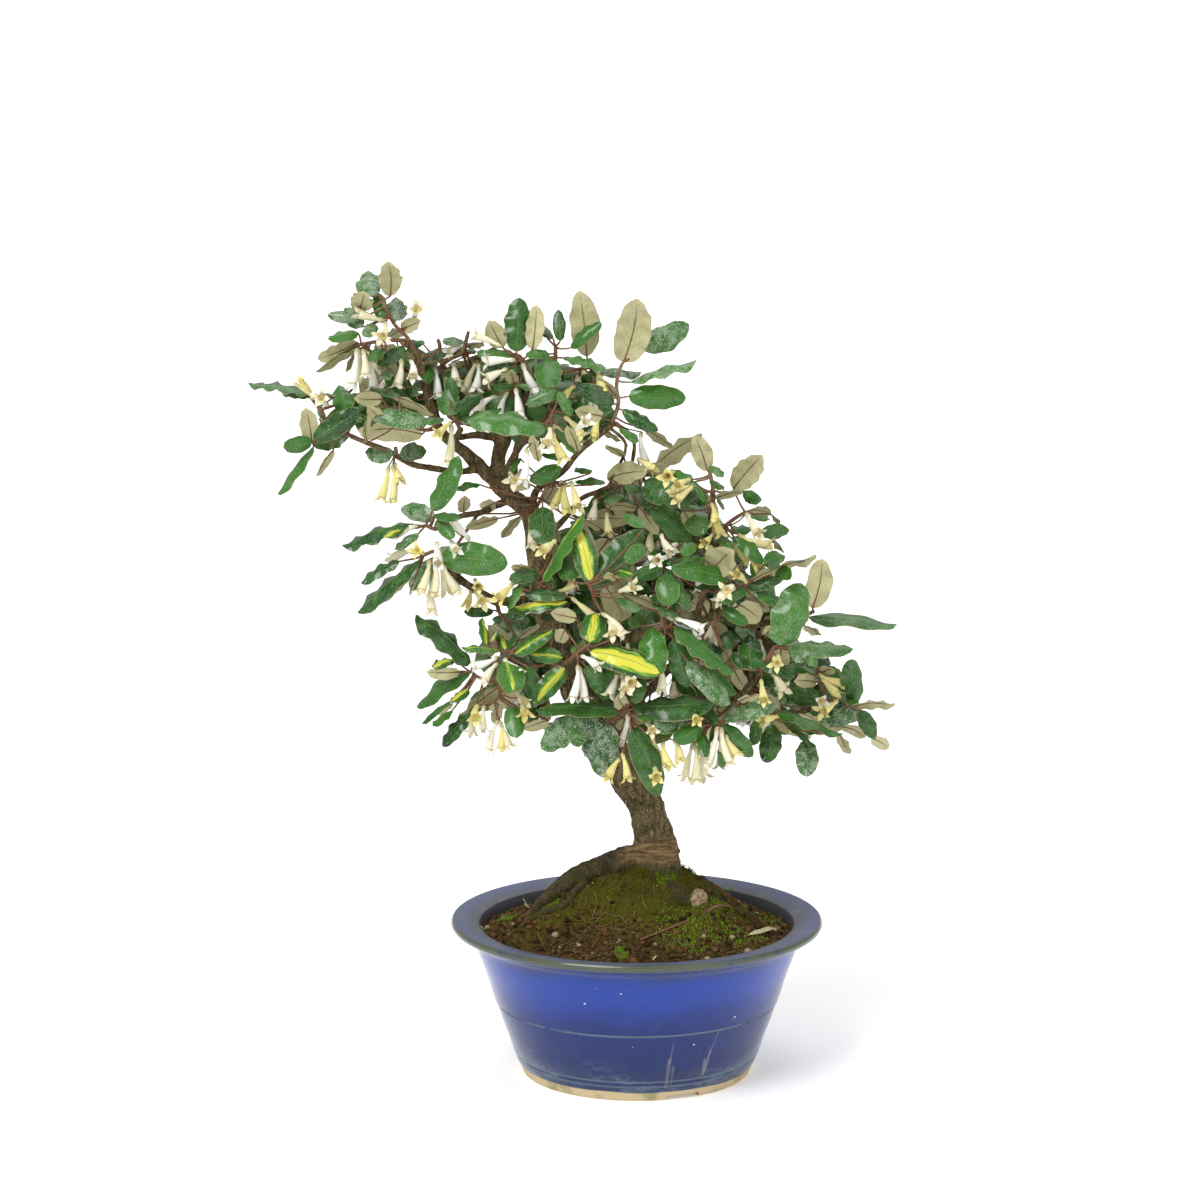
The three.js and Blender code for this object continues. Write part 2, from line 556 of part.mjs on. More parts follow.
    flowers: [[-5, 195.5, -6.5, 182, white], [5, 190, 8, 186, cream], [-10, 217.5, -14.5, 206, cream],
      [-5, 217, -2.5, 212, cream], [-9, 171, -15, 161.5, yellow], [-8, 174, -5, 160.5, yellow],
      [9.5, 166, 10.5, 160.5, yellow], [7.5, 184, 14, 168.5, yellow], [14, 180, 17, 168, yellow],
      [20, 181, 23, 171, yellow]],
  },
  {
    name: "shoot_middle",
    depth: -60,
    from: [20, 239, -46],
    twig: [[14, 243], [13, 250]],
    leaves: [
      [-11, 261.5, 19, 250, 5, down, plain], [7.5, 241.5, 11, 216, 15, up, plain],
      [19.5, 236, 27, 209.5, 13, up, plain], [17, 253.5, 14.5, 271.5, 13, up, plain],
      [28.5, 251.5, 16, 274, 8, up, plain], [8, 255, 30, 243, 4, up, plain],
      [20, 243, 51.5, 217.5, 9, up, plain], [27, 224, 49.5, 200.5, 11, up, scurfy],
      [9, 240, 2, 249, 7, up, plain],
    ],
    bunches: [
      { name: "bunch_middle", at: [16.5, 241.5], flowers: [[15, 249, 31, 236.5, white],
        [20, 247, 33.5, 242, white], [12.5, 221, 13, 209, cream]] },
    ],
  },
  {
    name: "shoot_bottom_right",
    depth: -55,
    from: [35.5, 190.5, -44],
    twig: [[42, 190], [46, 191]],
    leaves: [
      [42.5, 189.5, 32.5, 199.5, 8, up, plain], [25, 192.5, 9, 188, 11, up, scurfy],
      [35, 189, 19.5, 181, 10, up, plain], [35, 185, 36.5, 171.5, 7, up, plain],
      [44.5, 189, 62, 172, 10, up, plain], [46, 193, 74.5, 200, 9.5, up, scurfy],
      [45, 176, 45.5, 165.5, 4.5, up, plain],
    ],
    flowers: [[30, 179.5, 26, 161.5, cream], [30.5, 179.5, 31, 159.5, cream], [33, 176, 35.5, 162, cream]],
    bunches: [
      { name: "bunch_bottom_right", at: [43, 190.2], flowers: [[43, 188.5, 38, 167.5, cream],
        [44, 188.5, 44.5, 167, cream], [45, 188, 49.5, 168.5, cream], [47, 184, 53, 173.5, yellow]] },
    ],
  },
  {
    name: "shoot_right_inner",
    depth: -38,
    from: [44.5, 252.6, -22],
    twig: [[42, 246], [35, 243]],
    leaves: [
      [36, 220.5, 53, 206, 8.5, up, plain], [45, 253, 59, 244, 7, up, plain],
      [54, 254.5, 65.5, 246, 12, down, plain], [45, 231, 50, 240, 10, up, plain],
      [51.5, 219.5, 58, 208.5, 8, down, plain], [31, 213, 41, 207, 5, down, plain],
      [30, 226, 43, 220, 4, down, plain],
    ],
  },
  {
    name: "shoot_right_top",
    depth: -28,
    from: [39.8, 303.5, -21.5],
    twig: [[40, 316], [38, 326]],
    leaves: [
      [31, 314, 16, 308, 8, up, plain], [35, 292, 27, 308, 13, up, plain],
      [44, 288, 33.5, 295.5, 5, up, plain], [37, 326, 30, 345, 11, down, plain],
      [39, 329, 44.5, 322.5, 5, up, plain], [41, 311.5, 56, 315.5, 4.5, down, plain],
      [56, 315.5, 65, 309.5, 7, up, plain], [29, 321.5, 17.5, 327, 5, up, plain],
      [24, 305, 31, 293, 8, down, plain],
    ],
    bunches: [
      { name: "bunch_right_top", at: [40, 316], flowers: [[31, 319.5, 18.5, 314.5, yellow],
        [30, 318, 21, 311, yellow], [39, 309, 41, 299.5, yellow], [41, 303, 44.5, 292.5, yellow]] },
    ],
  },
  {
    name: "shoot_middle_top",
    depth: -8,
    from: [-8, 319.8, -8],
    twig: [[-1, 322], [5, 324]],
    leaves: [
      [4, 323, 34, 346, 9, down, plain], [4, 321, 16, 310, 13, up, plain],
      [8, 308, 27.5, 287, 13, up, plain], [1, 307, 11, 292, 8, down, plain],
      [0, 306, -17, 308, 5, down, plain], [-16, 322, 5, 326, 12, down, plain],
      [-7, 333.5, -16.5, 340, 4.5, down, plain], [-8, 314, -17, 309, 4, up, plain],
    ],
    flowers: [[0, 332.5, 8, 328, yellow], [20, 325, 15.5, 322.5, yellow], [-16, 304, -15, 293, yellow],
      [-22, 311, -24, 300, cream]],
  },
  {
    name: "shoot_right_upper",
    depth: -22,
    from: [43.8, 291, -14.8],
    twig: [[47, 297], [52, 301], [57, 304]],
    leaves: [
      [50.5, 316.5, 66, 334.5, 14, down, plain], [58.5, 305, 70.5, 303, 6, down, plain],
      [65, 292.5, 80.5, 294.5, 8.5, up, plain], [48, 294, 60, 296, 5.5, up, plain],
      [51, 291, 66.5, 276.5, 8, up, plain], [46.5, 291, 50, 283.5, 6, up, plain],
    ],
    bunches: [
      { name: "bunch_right_upper", at: [48, 298], flowers: [[57.5, 303.5, 63.5, 293, cream],
        [53, 292, 69.5, 286.5, yellow], [51, 288.5, 58, 279, yellow]] },
    ],
  },
  {
    name: "shoot_right_middle",
    depth: -38,
    from: [45, 260, -31],
    twig: [[52, 264], [60, 267]],
    leaves: [
      [58.5, 263, 78, 270.5, 7, up, plain], [60, 267.5, 94.5, 281.5, 5, down, plain],
      [62, 262.5, 82, 251.5, 7, up, plain], [58, 262, 70, 251, 7, down, plain],
      [58, 262, 43, 255.5, 6, up, plain], [67, 276, 78.5, 280.5, 9, up, plain],
      [73, 272, 82, 270, 8, up, plain], [39, 272, 51, 284, 18, down, plain],
      [48.5, 268.5, 18, 274.5, 11, up, plain], [48, 265, 30, 264, 4, up, plain],
      [36, 279.5, 15.5, 277, 5, up, plain], [14, 273.5, -2.5, 268.5, 8, up, plain],
      [31, 287, 24, 281, 7, up, plain],
    ],
    flowers: [[12.5, 292.5, 17.5, 283.5, cream], [16, 280, 10, 278, white], [58, 266, 53, 270.5, yellow],
      [52, 264, 43.5, 256.5, cream]],
  },
  {
    name: "shoot_right_low",
    depth: -48,
    from: [65.3, 218.6, -43.5],
    twig: [[70, 226], [73, 232]],
    leaves: [
      [75.5, 232.5, 87, 266, 19, up, plain], [61, 219.5, 60, 238.5, 13.5, up, plain],
      [56, 220, 51.5, 229, 6, up, plain], [80, 231, 115, 230.5, 9, up, plain],
      [77, 231, 78, 221.5, 10, down, plain], [84, 215.5, 64.5, 223.5, 7, up, plain],
      [91, 230, 93.5, 221, 6, up, plain],
    ],
    flowers: [[72, 218, 77.5, 209, cream], [66, 214, 67.5, 203, yellow], [75, 227, 74, 222.5, yellow]],
  },
  {
    name: "shoot_right_tip_upper",
    depth: -25,
    from: [83, 246, -26],
    twig: [[90, 249], [94, 251]],
    leaves: [
      [93, 252.5, 98, 279, 14, down, plain], [91, 247.7, 138, 244, 6.5, up, plain],
      [89, 243, 97, 238, 4, down, plain],
    ],
  },
  {
    name: "shoot_right_tip",
    depth: -17,
    from: [97, 199.5, -16.7],
    twig: [[103, 202], [108, 204], [112, 201]],
    side: [[101.5, 201.4], [97.5, 213], [96, 221]],
    leaves: [
      [94.5, 217, 84, 221.5, 5, up, plain], [98, 204, 107, 210, 8, up, plain],
      [98, 217, 105, 219.5, 6, down, plain], [95.5, 212.5, 83.5, 213, 8, down, plain],
      [97, 204, 79, 207, 11.5, up, plain], [78, 200, 72, 210, 6.5, up, scurfy],
      [75, 197, 69, 206, 8, down, plain], [116.5, 201, 114, 225, 12, up, plain],
      [98, 191.5, 120, 196.5, 10, up, scurfy], [119, 197.5, 127, 181.5, 9, up, plain],
      [109, 188.5, 122, 182.5, 6, down, plain], [125, 182.5, 134.5, 176.5, 7, down, plain],
      [113, 199, 138, 201, 4.5, down, plain],
    ],
    bunches: [
      { name: "bunch_right_tip", at: [97, 214], flowers: [[96.5, 217, 109, 212, yellow],
        [98, 215, 106, 206.5, yellow], [107, 203, 99, 197, yellow]] },
    ],
  },
  {
    name: "shoot_right_bottom",
    depth: -32,
    from: [71, 197.5, -29.8],
    twig: [[73, 193], [78, 191]],
    leaves: [
      [72, 189.5, 69, 168.5, 12, up, plain], [63, 192, 62, 178, 7, up, plain],
      [89.5, 181, 91, 161, 12.5, up, scurfy], [78.5, 192, 96, 177.5, 4, up, plain],
      [75, 196.5, 110.5, 184.5, 5, up, plain], [108.5, 184, 113.5, 173.5, 5.5, down, plain],
      [86, 196, 97, 190, 5, down, plain], [82, 187, 93, 182, 4, down, plain],
    ],
    flowers: [[76, 194.5, 67.5, 192, yellow]],
  },
];

// Shoots on the far side: their leaves are drawn at random round the shoot's end, inside a circle as seen
// from the front
const farShoots = [
  { name: "far_shoot_centre", from: [-34.5, 251.8, 38], centre: [-28, 252], spread: 32, depth: 52, leaves: 6 },
  { name: "far_shoot_middle", from: [21.5, 227, 30], centre: [24, 232], spread: 32, depth: 44, leaves: 6 },
  { name: "far_shoot_upper", from: [12, 275, 25], centre: [12, 286], spread: 27, depth: 38, leaves: 5 },
  { name: "far_shoot_right", from: [60, 210, 13], centre: [62, 212], spread: 24, depth: 26, leaves: 5 },
  { name: "far_shoot_top", from: [-60.2, 351, 41], centre: [-56, 364], spread: 26, depth: 52, leaves: 5 },
  { name: "far_shoot_left", from: [-106, 365, 33], centre: [-106, 370], spread: 18, depth: 42, leaves: 4 },
];

// The pot, turned about its own axis: the inner wall and the soil that fills it share this profile
const innerWall = [[58, 12], [70, 34], [80.4, 64], [83.4, 76]];
const potProfile = [
  [drainRadius, footHeight], [52, footHeight], [54, 0], [footRadius, 0], [66.5, 12.5], [74, 33.5],
  [75.4, 38.5], [76.7, 39.3], [80, 52], [84.8, 65], [88, 74], [97.4, 79], [rimRadius, 81.6],
  [99, potHeight], [95, potHeight], [84.6, 81.5], ...innerWall.toReversed(), [drainRadius, 12],
];

function turned(profile, segments) {
  const points = profile.map(([radius, height]) => new THREE.Vector2(radius, height));
  return new THREE.LatheGeometry(points, segments).rotateX(Math.PI / 2);
}

function potSolid() {
  let pot = solidFrom(turned([...potProfile, potProfile[0]], potSegments));
  for (const angle of notchAngles) {
    const notch = new THREE.BoxGeometry(20, notchWidth, 2 * notchHeight);
    notch.translate(58, 0, 0).rotateZ(THREE.MathUtils.degToRad(angle));
    pot = pot.subtract(solidFrom(notch));
  }
  return pot;
}

// A thin round screen over the drain hole, with four square holes
function screenSolid() {
  const disc = new THREE.CylinderGeometry(15, 15, 0.8, 16);
  let screen = solidFrom(disc.rotateX(Math.PI / 2).translate(0, 0, 12.9));
  for (const x of [-3.2, 3.2]) {
    for (const y of [-3.2, 3.2]) {
      screen = screen.subtract(solidFrom(new THREE.BoxGeometry(4.4, 4.4, 4).translate(x, y, 12.9)));
    }
  }
  return screen;
}

// The soil rises from the pot's wall to the trunk's foot in a rounded mound with a slightly uneven skin
function moundHeight(x, y) {
  const reach = new THREE.Vector2(x, y).sub(trunkFoot);
  const distance = reach.length();
  const along = distance > 0.01 ? reach.clone().normalize() : new THREE.Vector2(1, 0);
  const inward = trunkFoot.dot(along);
  const toWall = Math.sqrt(inward ** 2 + soilRadius ** 2 - trunkFoot.lengthSq()) - inward;
  const t = Math.min(distance / toWall, 1);
  const uneven = 1.3 * Math.sin(x * 0.21 + 1) * Math.cos(y * 0.17) + 0.9 * Math.sin(x * 0.09 - y * 0.31);
  const rise = moundRise * (0.5 + 0.5 * Math.cos(Math.PI * t)) ** 0.9;
  return soilEdgeHeight + rise + uneven * Math.sin(Math.PI * t);
}

function soilSolid() {
  const sides = innerWall.slice(1).map(([radius, height]) => [radius - 0.45, height]);
  const profile = [[0, 13.9], [58.7, 13.9], ...sides, [72, 77], [58, 77], [42, 77], [24, 77], [0, 77]];
  const geometry = turned(profile, potSegments);
  const position = geometry.getAttribute("position");
  for (let i = 0; i < position.count; i += 1) {
    if (position.getZ(i) >= 75.9) {
      position.setZ(i, moundHeight(position.getX(i), position.getY(i)));
    }
  }
  return solidFrom(geometry);
}

// A closed skin from a root point over rings of equally many points to a tip point. The upper half of a ring
// and the lower half are split along the same lines, so that a thin wavy skin never passes through itself.
function ringedSolid(root, rings, tip) {
  const count = rings[0].length;
  const points = [...rings.flat(), tip, root];
  const last = (rings.length - 1) * count;
  const faces = [];
  for (let i = 0; i < count; i += 1) {
    faces.push([(i + 1) % count, i, points.length - 1]);
  }
  for (let ring = 0; ring < rings.length - 1; ring += 1) {
    for (let i = 0; i < count; i += 1) {
      const [a, b] = [ring * count + i, ring * count + ((i + 1) % count)];
      if (i < count / 2) {
        faces.push([a, b, b + count], [a, b + count, a + count]);
      } else {
        faces.push([a, b, a + count], [b, b + count, a + count]);
      }
    }
  }
  for (let i = 0; i < count; i += 1) {
    faces.push([last + i, last + ((i + 1) % count), points.length - 2]);
  }
  return solidFrom(facesGeometry(points, faces));
}

// The turned-out directions of a leaf or a flower: its axis, its upper side and its left edge
function seenFrame(base, tip, widthShare, side) {
  const axis = tip.clone().sub(base).normalize();
  const toViewer = viewer.clone().sub(base).projectOnPlane(axis).normalize();
  const across = axis.clone().cross(toViewer);
  const roll = Math.acos(Math.min(widthShare, 1));
  const choices = [1, -1].map((sign) =>
    toViewer.clone().multiplyScalar(side * Math.cos(roll)).addScaledVector(across, sign * Math.sin(roll)),
  );
  const upper = choices[0].z > choices[1].z ? choices[0] : choices[1];
  return { axis, upper, left: upper.clone().cross(axis) };
}

// A leaf: a stalk from its foot on the twig, then a blade of lens-shaped sections with a raised or lowered
// point on alternate edges, so that its margin waves.
function leafSolid(leaf, swell = 0, blade = false) {
  const { foot, base, tip, width, share, side, wave } = leaf;
  const length = tip.distanceTo(base);
  const { axis, upper, left } = seenFrame(base, tip, share, side);
  const at = (t, across, height) =>
    base
      .clone()
      .addScaledVector(axis, t * length)
      .addScaledVector(left, across)
      .addScaledVector(upper, height);
  const half = width / 2 + swell;
  const thick = bladeThickness / 2 + swell;
  const bow = 0.2 * length;
  const stations = length < 30 ? [[0.32, 0.95], [0.74, 0.8]] : [[0.22, 0.8], [0.52, 1], [0.82, 0.66]];
  const neck = stalkWidth / 2 + swell;
  const rings = stations.map(([t, w], i) => {
    const rise = bow * t * (1 - t);
    const edge = wave * (i % 2 === 0 ? 1 : -1);
    return [
      at(t, half * w, rise - 0.1 * width * w + edge), at(t, 0, rise + thick),
      at(t + 0.03, -half * w, rise - 0.1 * width * w - edge), at(t, 0, rise - thick),
    ];
  });
  if (!blade && foot.distanceTo(base) > 7) {
    rings.unshift([at(0, neck, 0), at(0, 0, neck), at(0, -neck, 0), at(0, 0, -neck)]);
  }
  const next = rings[0][1].clone().lerp(rings[0][3], 0.5);
  return ringedSolid(blade ? base : rootBeyond(foot, next), rings, at(1 + swell / length, 0, 0));
}

// A stalk is rooted a little past the middle of the twig that it grows on
function rootBeyond(foot, next) {
  return foot.clone().addScaledVector(foot.clone().sub(next).normalize(), twigRadius);
}

// A flower: a slim tube that widens to its neck, and four pointed lobes that stand out round a sunken throat
function flowerSolid(flower, swell = 0) {
  const { foot, base, mouth } = flower;
  const axis = mouth.clone().sub(base).normalize();
  const { upper, left } = seenFrame(base, mouth, 1, 1);
  const round = (centre, radius, turn) =>
    [0, 1, 2, 3].map((i) => {
      const angle = (i + turn) * (Math.PI / 2);
      return centre
        .clone()
        .addScaledVector(upper, radius * Math.cos(angle))
        .addScaledVector(left, radius * Math.sin(angle));
    });
  const length = Math.max(mouth.distanceTo(base), tubeLength);
  const neck = mouth.clone().addScaledVector(axis, -0.16 * length);
  const near = foot.distanceTo(base) < 8;
  const rings = [...(near ? [] : [round(base, 0.8 + swell, 0)]), round(neck, tubeRadius + swell, 0)];
  const tips = round(mouth.clone().addScaledVector(axis, 0.4), lobeReach + swell, 0.5);
  const notches = round(mouth, mouthRadius + swell, 0);
  const throat = mouth.clone().addScaledVector(axis, swell - 1);
  const points = [...rings.flat(), ...notches, ...tips, throat, rootBeyond(foot, near ? neck : base)];
  const faces = [];
  const last = 4 * (rings.length - 1);
  for (let i = 0; i < 4; i += 1) {
    const j = (i + 1) % 4;
    faces.push([j, i, last + 13]);
    if (!near) {
      faces.push([i, j, j + 4], [i, j + 4, i + 4]);
    }
    const [neckI, neckJ] = [last + i, last + j];
    const [notchI, notchJ, tip] = [last + 4 + i, last + 4 + j, last + 8 + i];
    faces.push([neckI, neckJ, tip], [neckI, tip, notchI], [neckJ, notchJ, tip]);
    faces.push([notchI, tip, last + 12], [tip, notchJ, last + 12]);
  }
  return solidFrom(facesGeometry(points, faces));
}

// Every placed piece is also kept a little swollen, so that pieces of other nodes stay clear of it
const placed = [];

function keepClearOf(name, solid, blade = false) {
  placed.push({ name, solid, blade, box: solid.boundingBox() });
}

function obstaclesTo(name, solid, among = (other) => other.name !== name) {
  const box = solid.boundingBox();
  return placed.filter(
    (other) =>
      among(other) &&
      [0, 1, 2].every((k) => other.box.min[k] < box.max[k] && other.box.max[k] > box.min[k]) &&
      !other.solid.intersect(solid).isEmpty(),
  );
}

function cutClear(name, solid) {
  return obstaclesTo(name, solid).reduce((rest, other) => rest.subtract(other.solid), solid);
}

// The depths a tip is tried at, in turn, until the piece is clear of every other node
const tipShifts = [0, -5, 5, -10, 10, -15, 15, -20, 20];

function leafFromRow([baseX, baseZ, tipX, tipZ, width, side, finish], depth, paths, shift) {
  const seenLength = Math.hypot(tipX - baseX, tipZ - baseZ);
  const trueLength = Math.max(seenLength, 1.9 * width, 18);
  const rising = Math.sign(tipZ - baseZ || 1);
  const away = side * rising * Math.sqrt(trueLength ** 2 - seenLength ** 2);
  const base = seenAt(baseX, baseZ, depth - 2 * side + 0.2 * shift);
  const trueWidth = Math.max(width, 0.4 * trueLength);
  return {
    foot: nearestOn(paths, base),
    base,
    tip: seenAt(tipX, tipZ, depth - 2 * side + away + shift),
    width: trueWidth,
    share: width / trueWidth,
    side,
    finish,
    wave: 0.06 * trueWidth,
  };
}

function flowerFromRow([baseX, baseZ, mouthX, mouthZ, tone], depth, foot, shift) {
  const seenLength = Math.hypot(mouthX - baseX, mouthZ - baseZ);
  const toward = Math.sqrt(Math.max(12 ** 2 - seenLength ** 2, 0));
  return {
    foot,
    base: seenAt(baseX, baseZ, depth + 0.3 * shift),
    mouth: seenAt(mouthX, mouthZ, depth - toward + shift),
    tone,
  };
}

function nearestOn(paths, point) {
  let nearest = paths[0][0];
  for (const path of paths) {
    for (let i = 0; i < path.length - 1; i += 1) {
      const line = new THREE.Line3(path[i], path[i + 1]);
      const close = line.closestPointToPoint(point, true, new THREE.Vector3());
      if (close.distanceTo(point) < nearest.distanceTo(point)) {
        nearest = close;
      }
    }
  }
  return nearest.clone();
}

// Grows a body by the first trial that is clear of every other node, or by the clear part of one, and that
// joins it as one sound solid. "carrier" is the node of the twig that a bunch sits on.
function grown(body, name, trial, carrier = name) {
  const foreign = (other) => other.name !== name && !(other.name === carrier && !other.blade);
  const own = (other) => other.name === name && other.blade;
  const twigs = carrier === name ? [] : placed.filter((other) => other.name === carrier && !other.blade);
  const rank = (shift) =>
    2 * Math.min(obstaclesTo(name, trial(shift, 0), foreign).length, 1) +
    Math.min(obstaclesTo(name, trial(shift, 0, true), own).length, 1);
  const fair = Math.min(thinnestFace, thinnest(body));
  const ranked = tipShifts.map((shift) => [rank(shift), shift]);
  for (const [, shift] of ranked.sort((a, b) => a[0] - b[0])) {
    const cutters = [...obstaclesTo(name, trial(shift, 0), foreign), ...twigs];
    const piece = cutters.reduce((rest, other) => rest.subtract(other.solid), trial(shift, 0));
    const next = settled(body.add(piece));
    const gain = (next.volume() - body.volume()) / trial(shift, 0).volume();
    const kept = next.intersect(body).volume() / body.volume();
    if (gain > 0.6 && kept > 0.95 && thinnest(next) >= fair) {
      keepClearOf(name, trial(shift, gap), true);
      return next;
    }
  }
  return body;
}

const twigSides = 3;

function twigRows(shoot, part) {
  const rows = part.map(([x, z, depth = shoot.depth], i) => [x, z, depth, twigRadius - 0.08 * i]);
  return part === shoot.twig ? [[...shoot.from, twigRadius + 0.2], ...rows] : rows;
}

const planter = new THREE.Group();
const plant = new THREE.Group();
planter.position.copy(potAxis);
plant.position.copy(potAxis);
const woodLook = new THREE.MeshStandardMaterial({ color: 0x6b5a48, roughness: 0.9, metalness: 0 });
const leafLook = new THREE.MeshStandardMaterial({ color: 0x4f7038, roughness: 0.45, metalness: 0 });
const goldLook = new THREE.MeshStandardMaterial({ color: 0xa9a045, roughness: 0.45, metalness: 0 });
const petalLook = new THREE.MeshStandardMaterial({ color: 0xe9dfc4, roughness: 0.6, metalness: 0 });
const glazeLook = new THREE.MeshStandardMaterial({ color: 0x27346e, roughness: 0.15, metalness: 0 });
const soilLook = new THREE.MeshStandardMaterial({ color: 0x4a3d30, roughness: 0.95, metalness: 0 });
const screenLook = new THREE.MeshStandardMaterial({ color: 0x2a2a2a, roughness: 0.7, metalness: 0 });

function addNode(group, name, solid, look) {
  const mesh = new THREE.Mesh(geometryOf(settled(solid)), look);
  mesh.name = name;
  group.add(mesh);
}

// Wood
const limbRows = [
  [trunkPath, 8],
  ...limbPaths.map((rows) => [rows, 4]),
  ...rootPaths.map((rows) => [rows, 5]),
];
const wood = joined(limbRows.map(([rows, sides]) => bentLimb(rows, sides, 1)));
const swollenWood = joined(limbRows.map(([rows, sides]) => bentLimb(rows, sides, 1, gap)));
for (const [rows, sides] of limbRows) {
  keepClearOf("trunk_and_branches", bentLimb(rows, sides, 1, gap));
}
addNode(planter, "pot", potSolid(), glazeLook);
addNode(planter, "drain_screen", screenSolid(), screenLook);
addNode(planter, "soil", soilSolid().subtract(swollenWood), soilLook);
addNode(plant, "trunk_and_branches", wood, woodLook);

// Twigs first, then bunches of flowers, then leaves
for (const shoot of shoots) {
  shoot.parts = [shoot.twig, shoot.side, shoot.sideTwo].filter(Boolean).map((part) => twigRows(shoot, part));
  shoot.paths = shoot.parts.map((rows) => ringCentres(rows, 1));
  const twigs = shoot.parts.map((rows) => bentLimb(rows, twigSides, 1));
  shoot.solid = settled(cutClear(shoot.name, joined(twigs)));
  shoot.parts.forEach((rows) => keepClearOf(shoot.name, bentLimb(rows, twigSides, 1, gap)));
}

for (const shoot of shoots) {
  for (const bunch of shoot.bunches ?? []) {
    const foot = nearestOn(shoot.paths, seenAt(bunch.at[0], bunch.at[1], shoot.depth));
    const middle = new THREE.Vector3();
    bunch.flowers.forEach(([x, z]) => middle.add(seenAt(x, z, shoot.depth - 4)));
    middle.divideScalar(bunch.flowers.length);
    const centre = foot.clone().addScaledVector(middle.sub(foot).normalize(), 2);
    const knot = (radius) =>
      solidFrom(new THREE.OctahedronGeometry(radius).translate(centre.x, centre.y, centre.z));
    const twigs = placed.filter((other) => other.name === shoot.name && !other.blade);
    const bare = twigs.reduce((rest, other) => rest.subtract(other.solid), knot(1.8));
    bunch.solid = settled(cutClear(bunch.name, bare));
    keepClearOf(bunch.name, knot(2.1));
    for (const row of bunch.flowers) {
      bunch.solid = grown(bunch.solid, bunch.name, (shift, swell) =>
        flowerSolid(flowerFromRow(row, shoot.depth - 4, centre, shift), swell), shoot.name);
    }
  }
}

for (const shoot of shoots) {
  const seenSize = ([x0, z0, x1, z1, width]) => Math.hypot(x1 - x0, z1 - z0) + width;
  const large = shoot.leaves.filter((row) => seenSize(row) > leastLeafSize);
  for (const row of large) {
    shoot.solid = grown(shoot.solid, shoot.name, (shift, swell, blade) =>
      leafSolid(leafFromRow(row, shoot.depth, shoot.paths, shift), swell, blade));
  }
  for (const row of shoot.flowers ?? []) {
    shoot.solid = grown(shoot.solid, shoot.name, (shift, swell) => {
      const flower = flowerFromRow(row, shoot.depth - 3, null, shift);
      flower.foot = nearestOn(shoot.paths, flower.base);
      return flowerSolid(flower, swell);
    });
  }
  const goldLeaves = shoot.leaves.filter((row) => row[6] === gold).length;
  addNode(plant, shoot.name, shoot.solid, goldLeaves > 1 ? goldLook : leafLook);
  for (const bunch of shoot.bunches ?? []) {
    addNode(plant, bunch.name, bunch.solid, petalLook);
  }
}

// Far side
farShoots.forEach((shoot, index) => {
  const random = seeded(100 + index);
  const [x, z] = shoot.centre;
  const reach = 0.45 * shoot.spread;
  const rows = [
    [...shoot.from, twigRadius + 0.2], [x - 0.2 * reach, z + 0.3 * reach, shoot.depth - 4, twigRadius],
    [x + 0.3 * reach, z + 0.8 * reach, shoot.depth + 8, twigRadius],
  ];
  const paths = [ringCentres(rows, 1)];
  let solid = settled(cutClear(shoot.name, bentLimb(rows, twigSides, 1)));
  keepClearOf(shoot.name, bentLimb(rows, twigSides, 1, gap));
  for (let i = 0; i < shoot.leaves; i += 1) {
    const angle = ((i + 0.6 * random()) / shoot.leaves) * 2 * Math.PI;
    const inner = (0.15 + 0.2 * random()) * shoot.spread;
    const outer = Math.min(inner + 16 + 10 * random(), 1.05 * shoot.spread);
    const depth = shoot.depth + 4 + (random() - 0.3) * 16;
    const row = [
      x + inner * Math.cos(angle), z + inner * Math.sin(angle), x + outer * Math.cos(angle),
      z + outer * Math.sin(angle), 7 + 4 * random(), Math.sin(angle) > 0 ? down : up, plain,
    ];
    solid = grown(solid, shoot.name, (shift, swell, blade) =>
      leafSolid(leafFromRow(row, depth, paths, shift), swell, blade));
  }
  addNode(plant, shoot.name, solid, leafLook);
});

const part = new THREE.Group();
part.add(planter, plant);

export default part;
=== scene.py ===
import math

import bmesh
import bpy
from mathutils import Matrix, Vector, noise
from mathutils.kdtree import KDTree


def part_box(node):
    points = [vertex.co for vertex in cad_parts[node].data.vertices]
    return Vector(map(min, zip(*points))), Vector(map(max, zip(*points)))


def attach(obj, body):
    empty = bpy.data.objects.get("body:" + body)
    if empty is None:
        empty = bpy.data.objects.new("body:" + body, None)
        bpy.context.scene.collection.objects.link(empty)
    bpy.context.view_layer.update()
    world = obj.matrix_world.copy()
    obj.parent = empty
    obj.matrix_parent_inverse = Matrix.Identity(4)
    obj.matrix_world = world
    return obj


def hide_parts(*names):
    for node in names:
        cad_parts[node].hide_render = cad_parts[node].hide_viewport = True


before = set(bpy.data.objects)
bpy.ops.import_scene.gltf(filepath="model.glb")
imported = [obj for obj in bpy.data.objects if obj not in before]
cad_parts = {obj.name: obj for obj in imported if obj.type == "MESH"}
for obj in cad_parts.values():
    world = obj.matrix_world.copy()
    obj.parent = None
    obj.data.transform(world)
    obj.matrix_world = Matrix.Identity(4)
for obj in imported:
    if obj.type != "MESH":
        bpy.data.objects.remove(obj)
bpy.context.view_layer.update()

mm = 0.001
scene = bpy.context.scene
potLow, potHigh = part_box("pot")
potAxis = Vector(((potLow.x + potHigh.x) / 2, (potLow.y + potHigh.y) / 2, 0))

# The camera stands where the photograph was taken from. Places in the plant are read from it: x and z in
# millimetres on the upright plane through the pot's axis, and the depth along the line of sight.
view = {
    "place": Vector((-19.7, -1933.6, 592.9)),
    "tiltDeg": 80.143,
    "lens": 111,
}
eye = potAxis + view["place"] * mm

# Looks of leaves and tones of flowers
plain, scurfy, gold, under = 0, 1, 2, 3
white, cream, yellow = 0, 1, 2
up, down = 1, -1

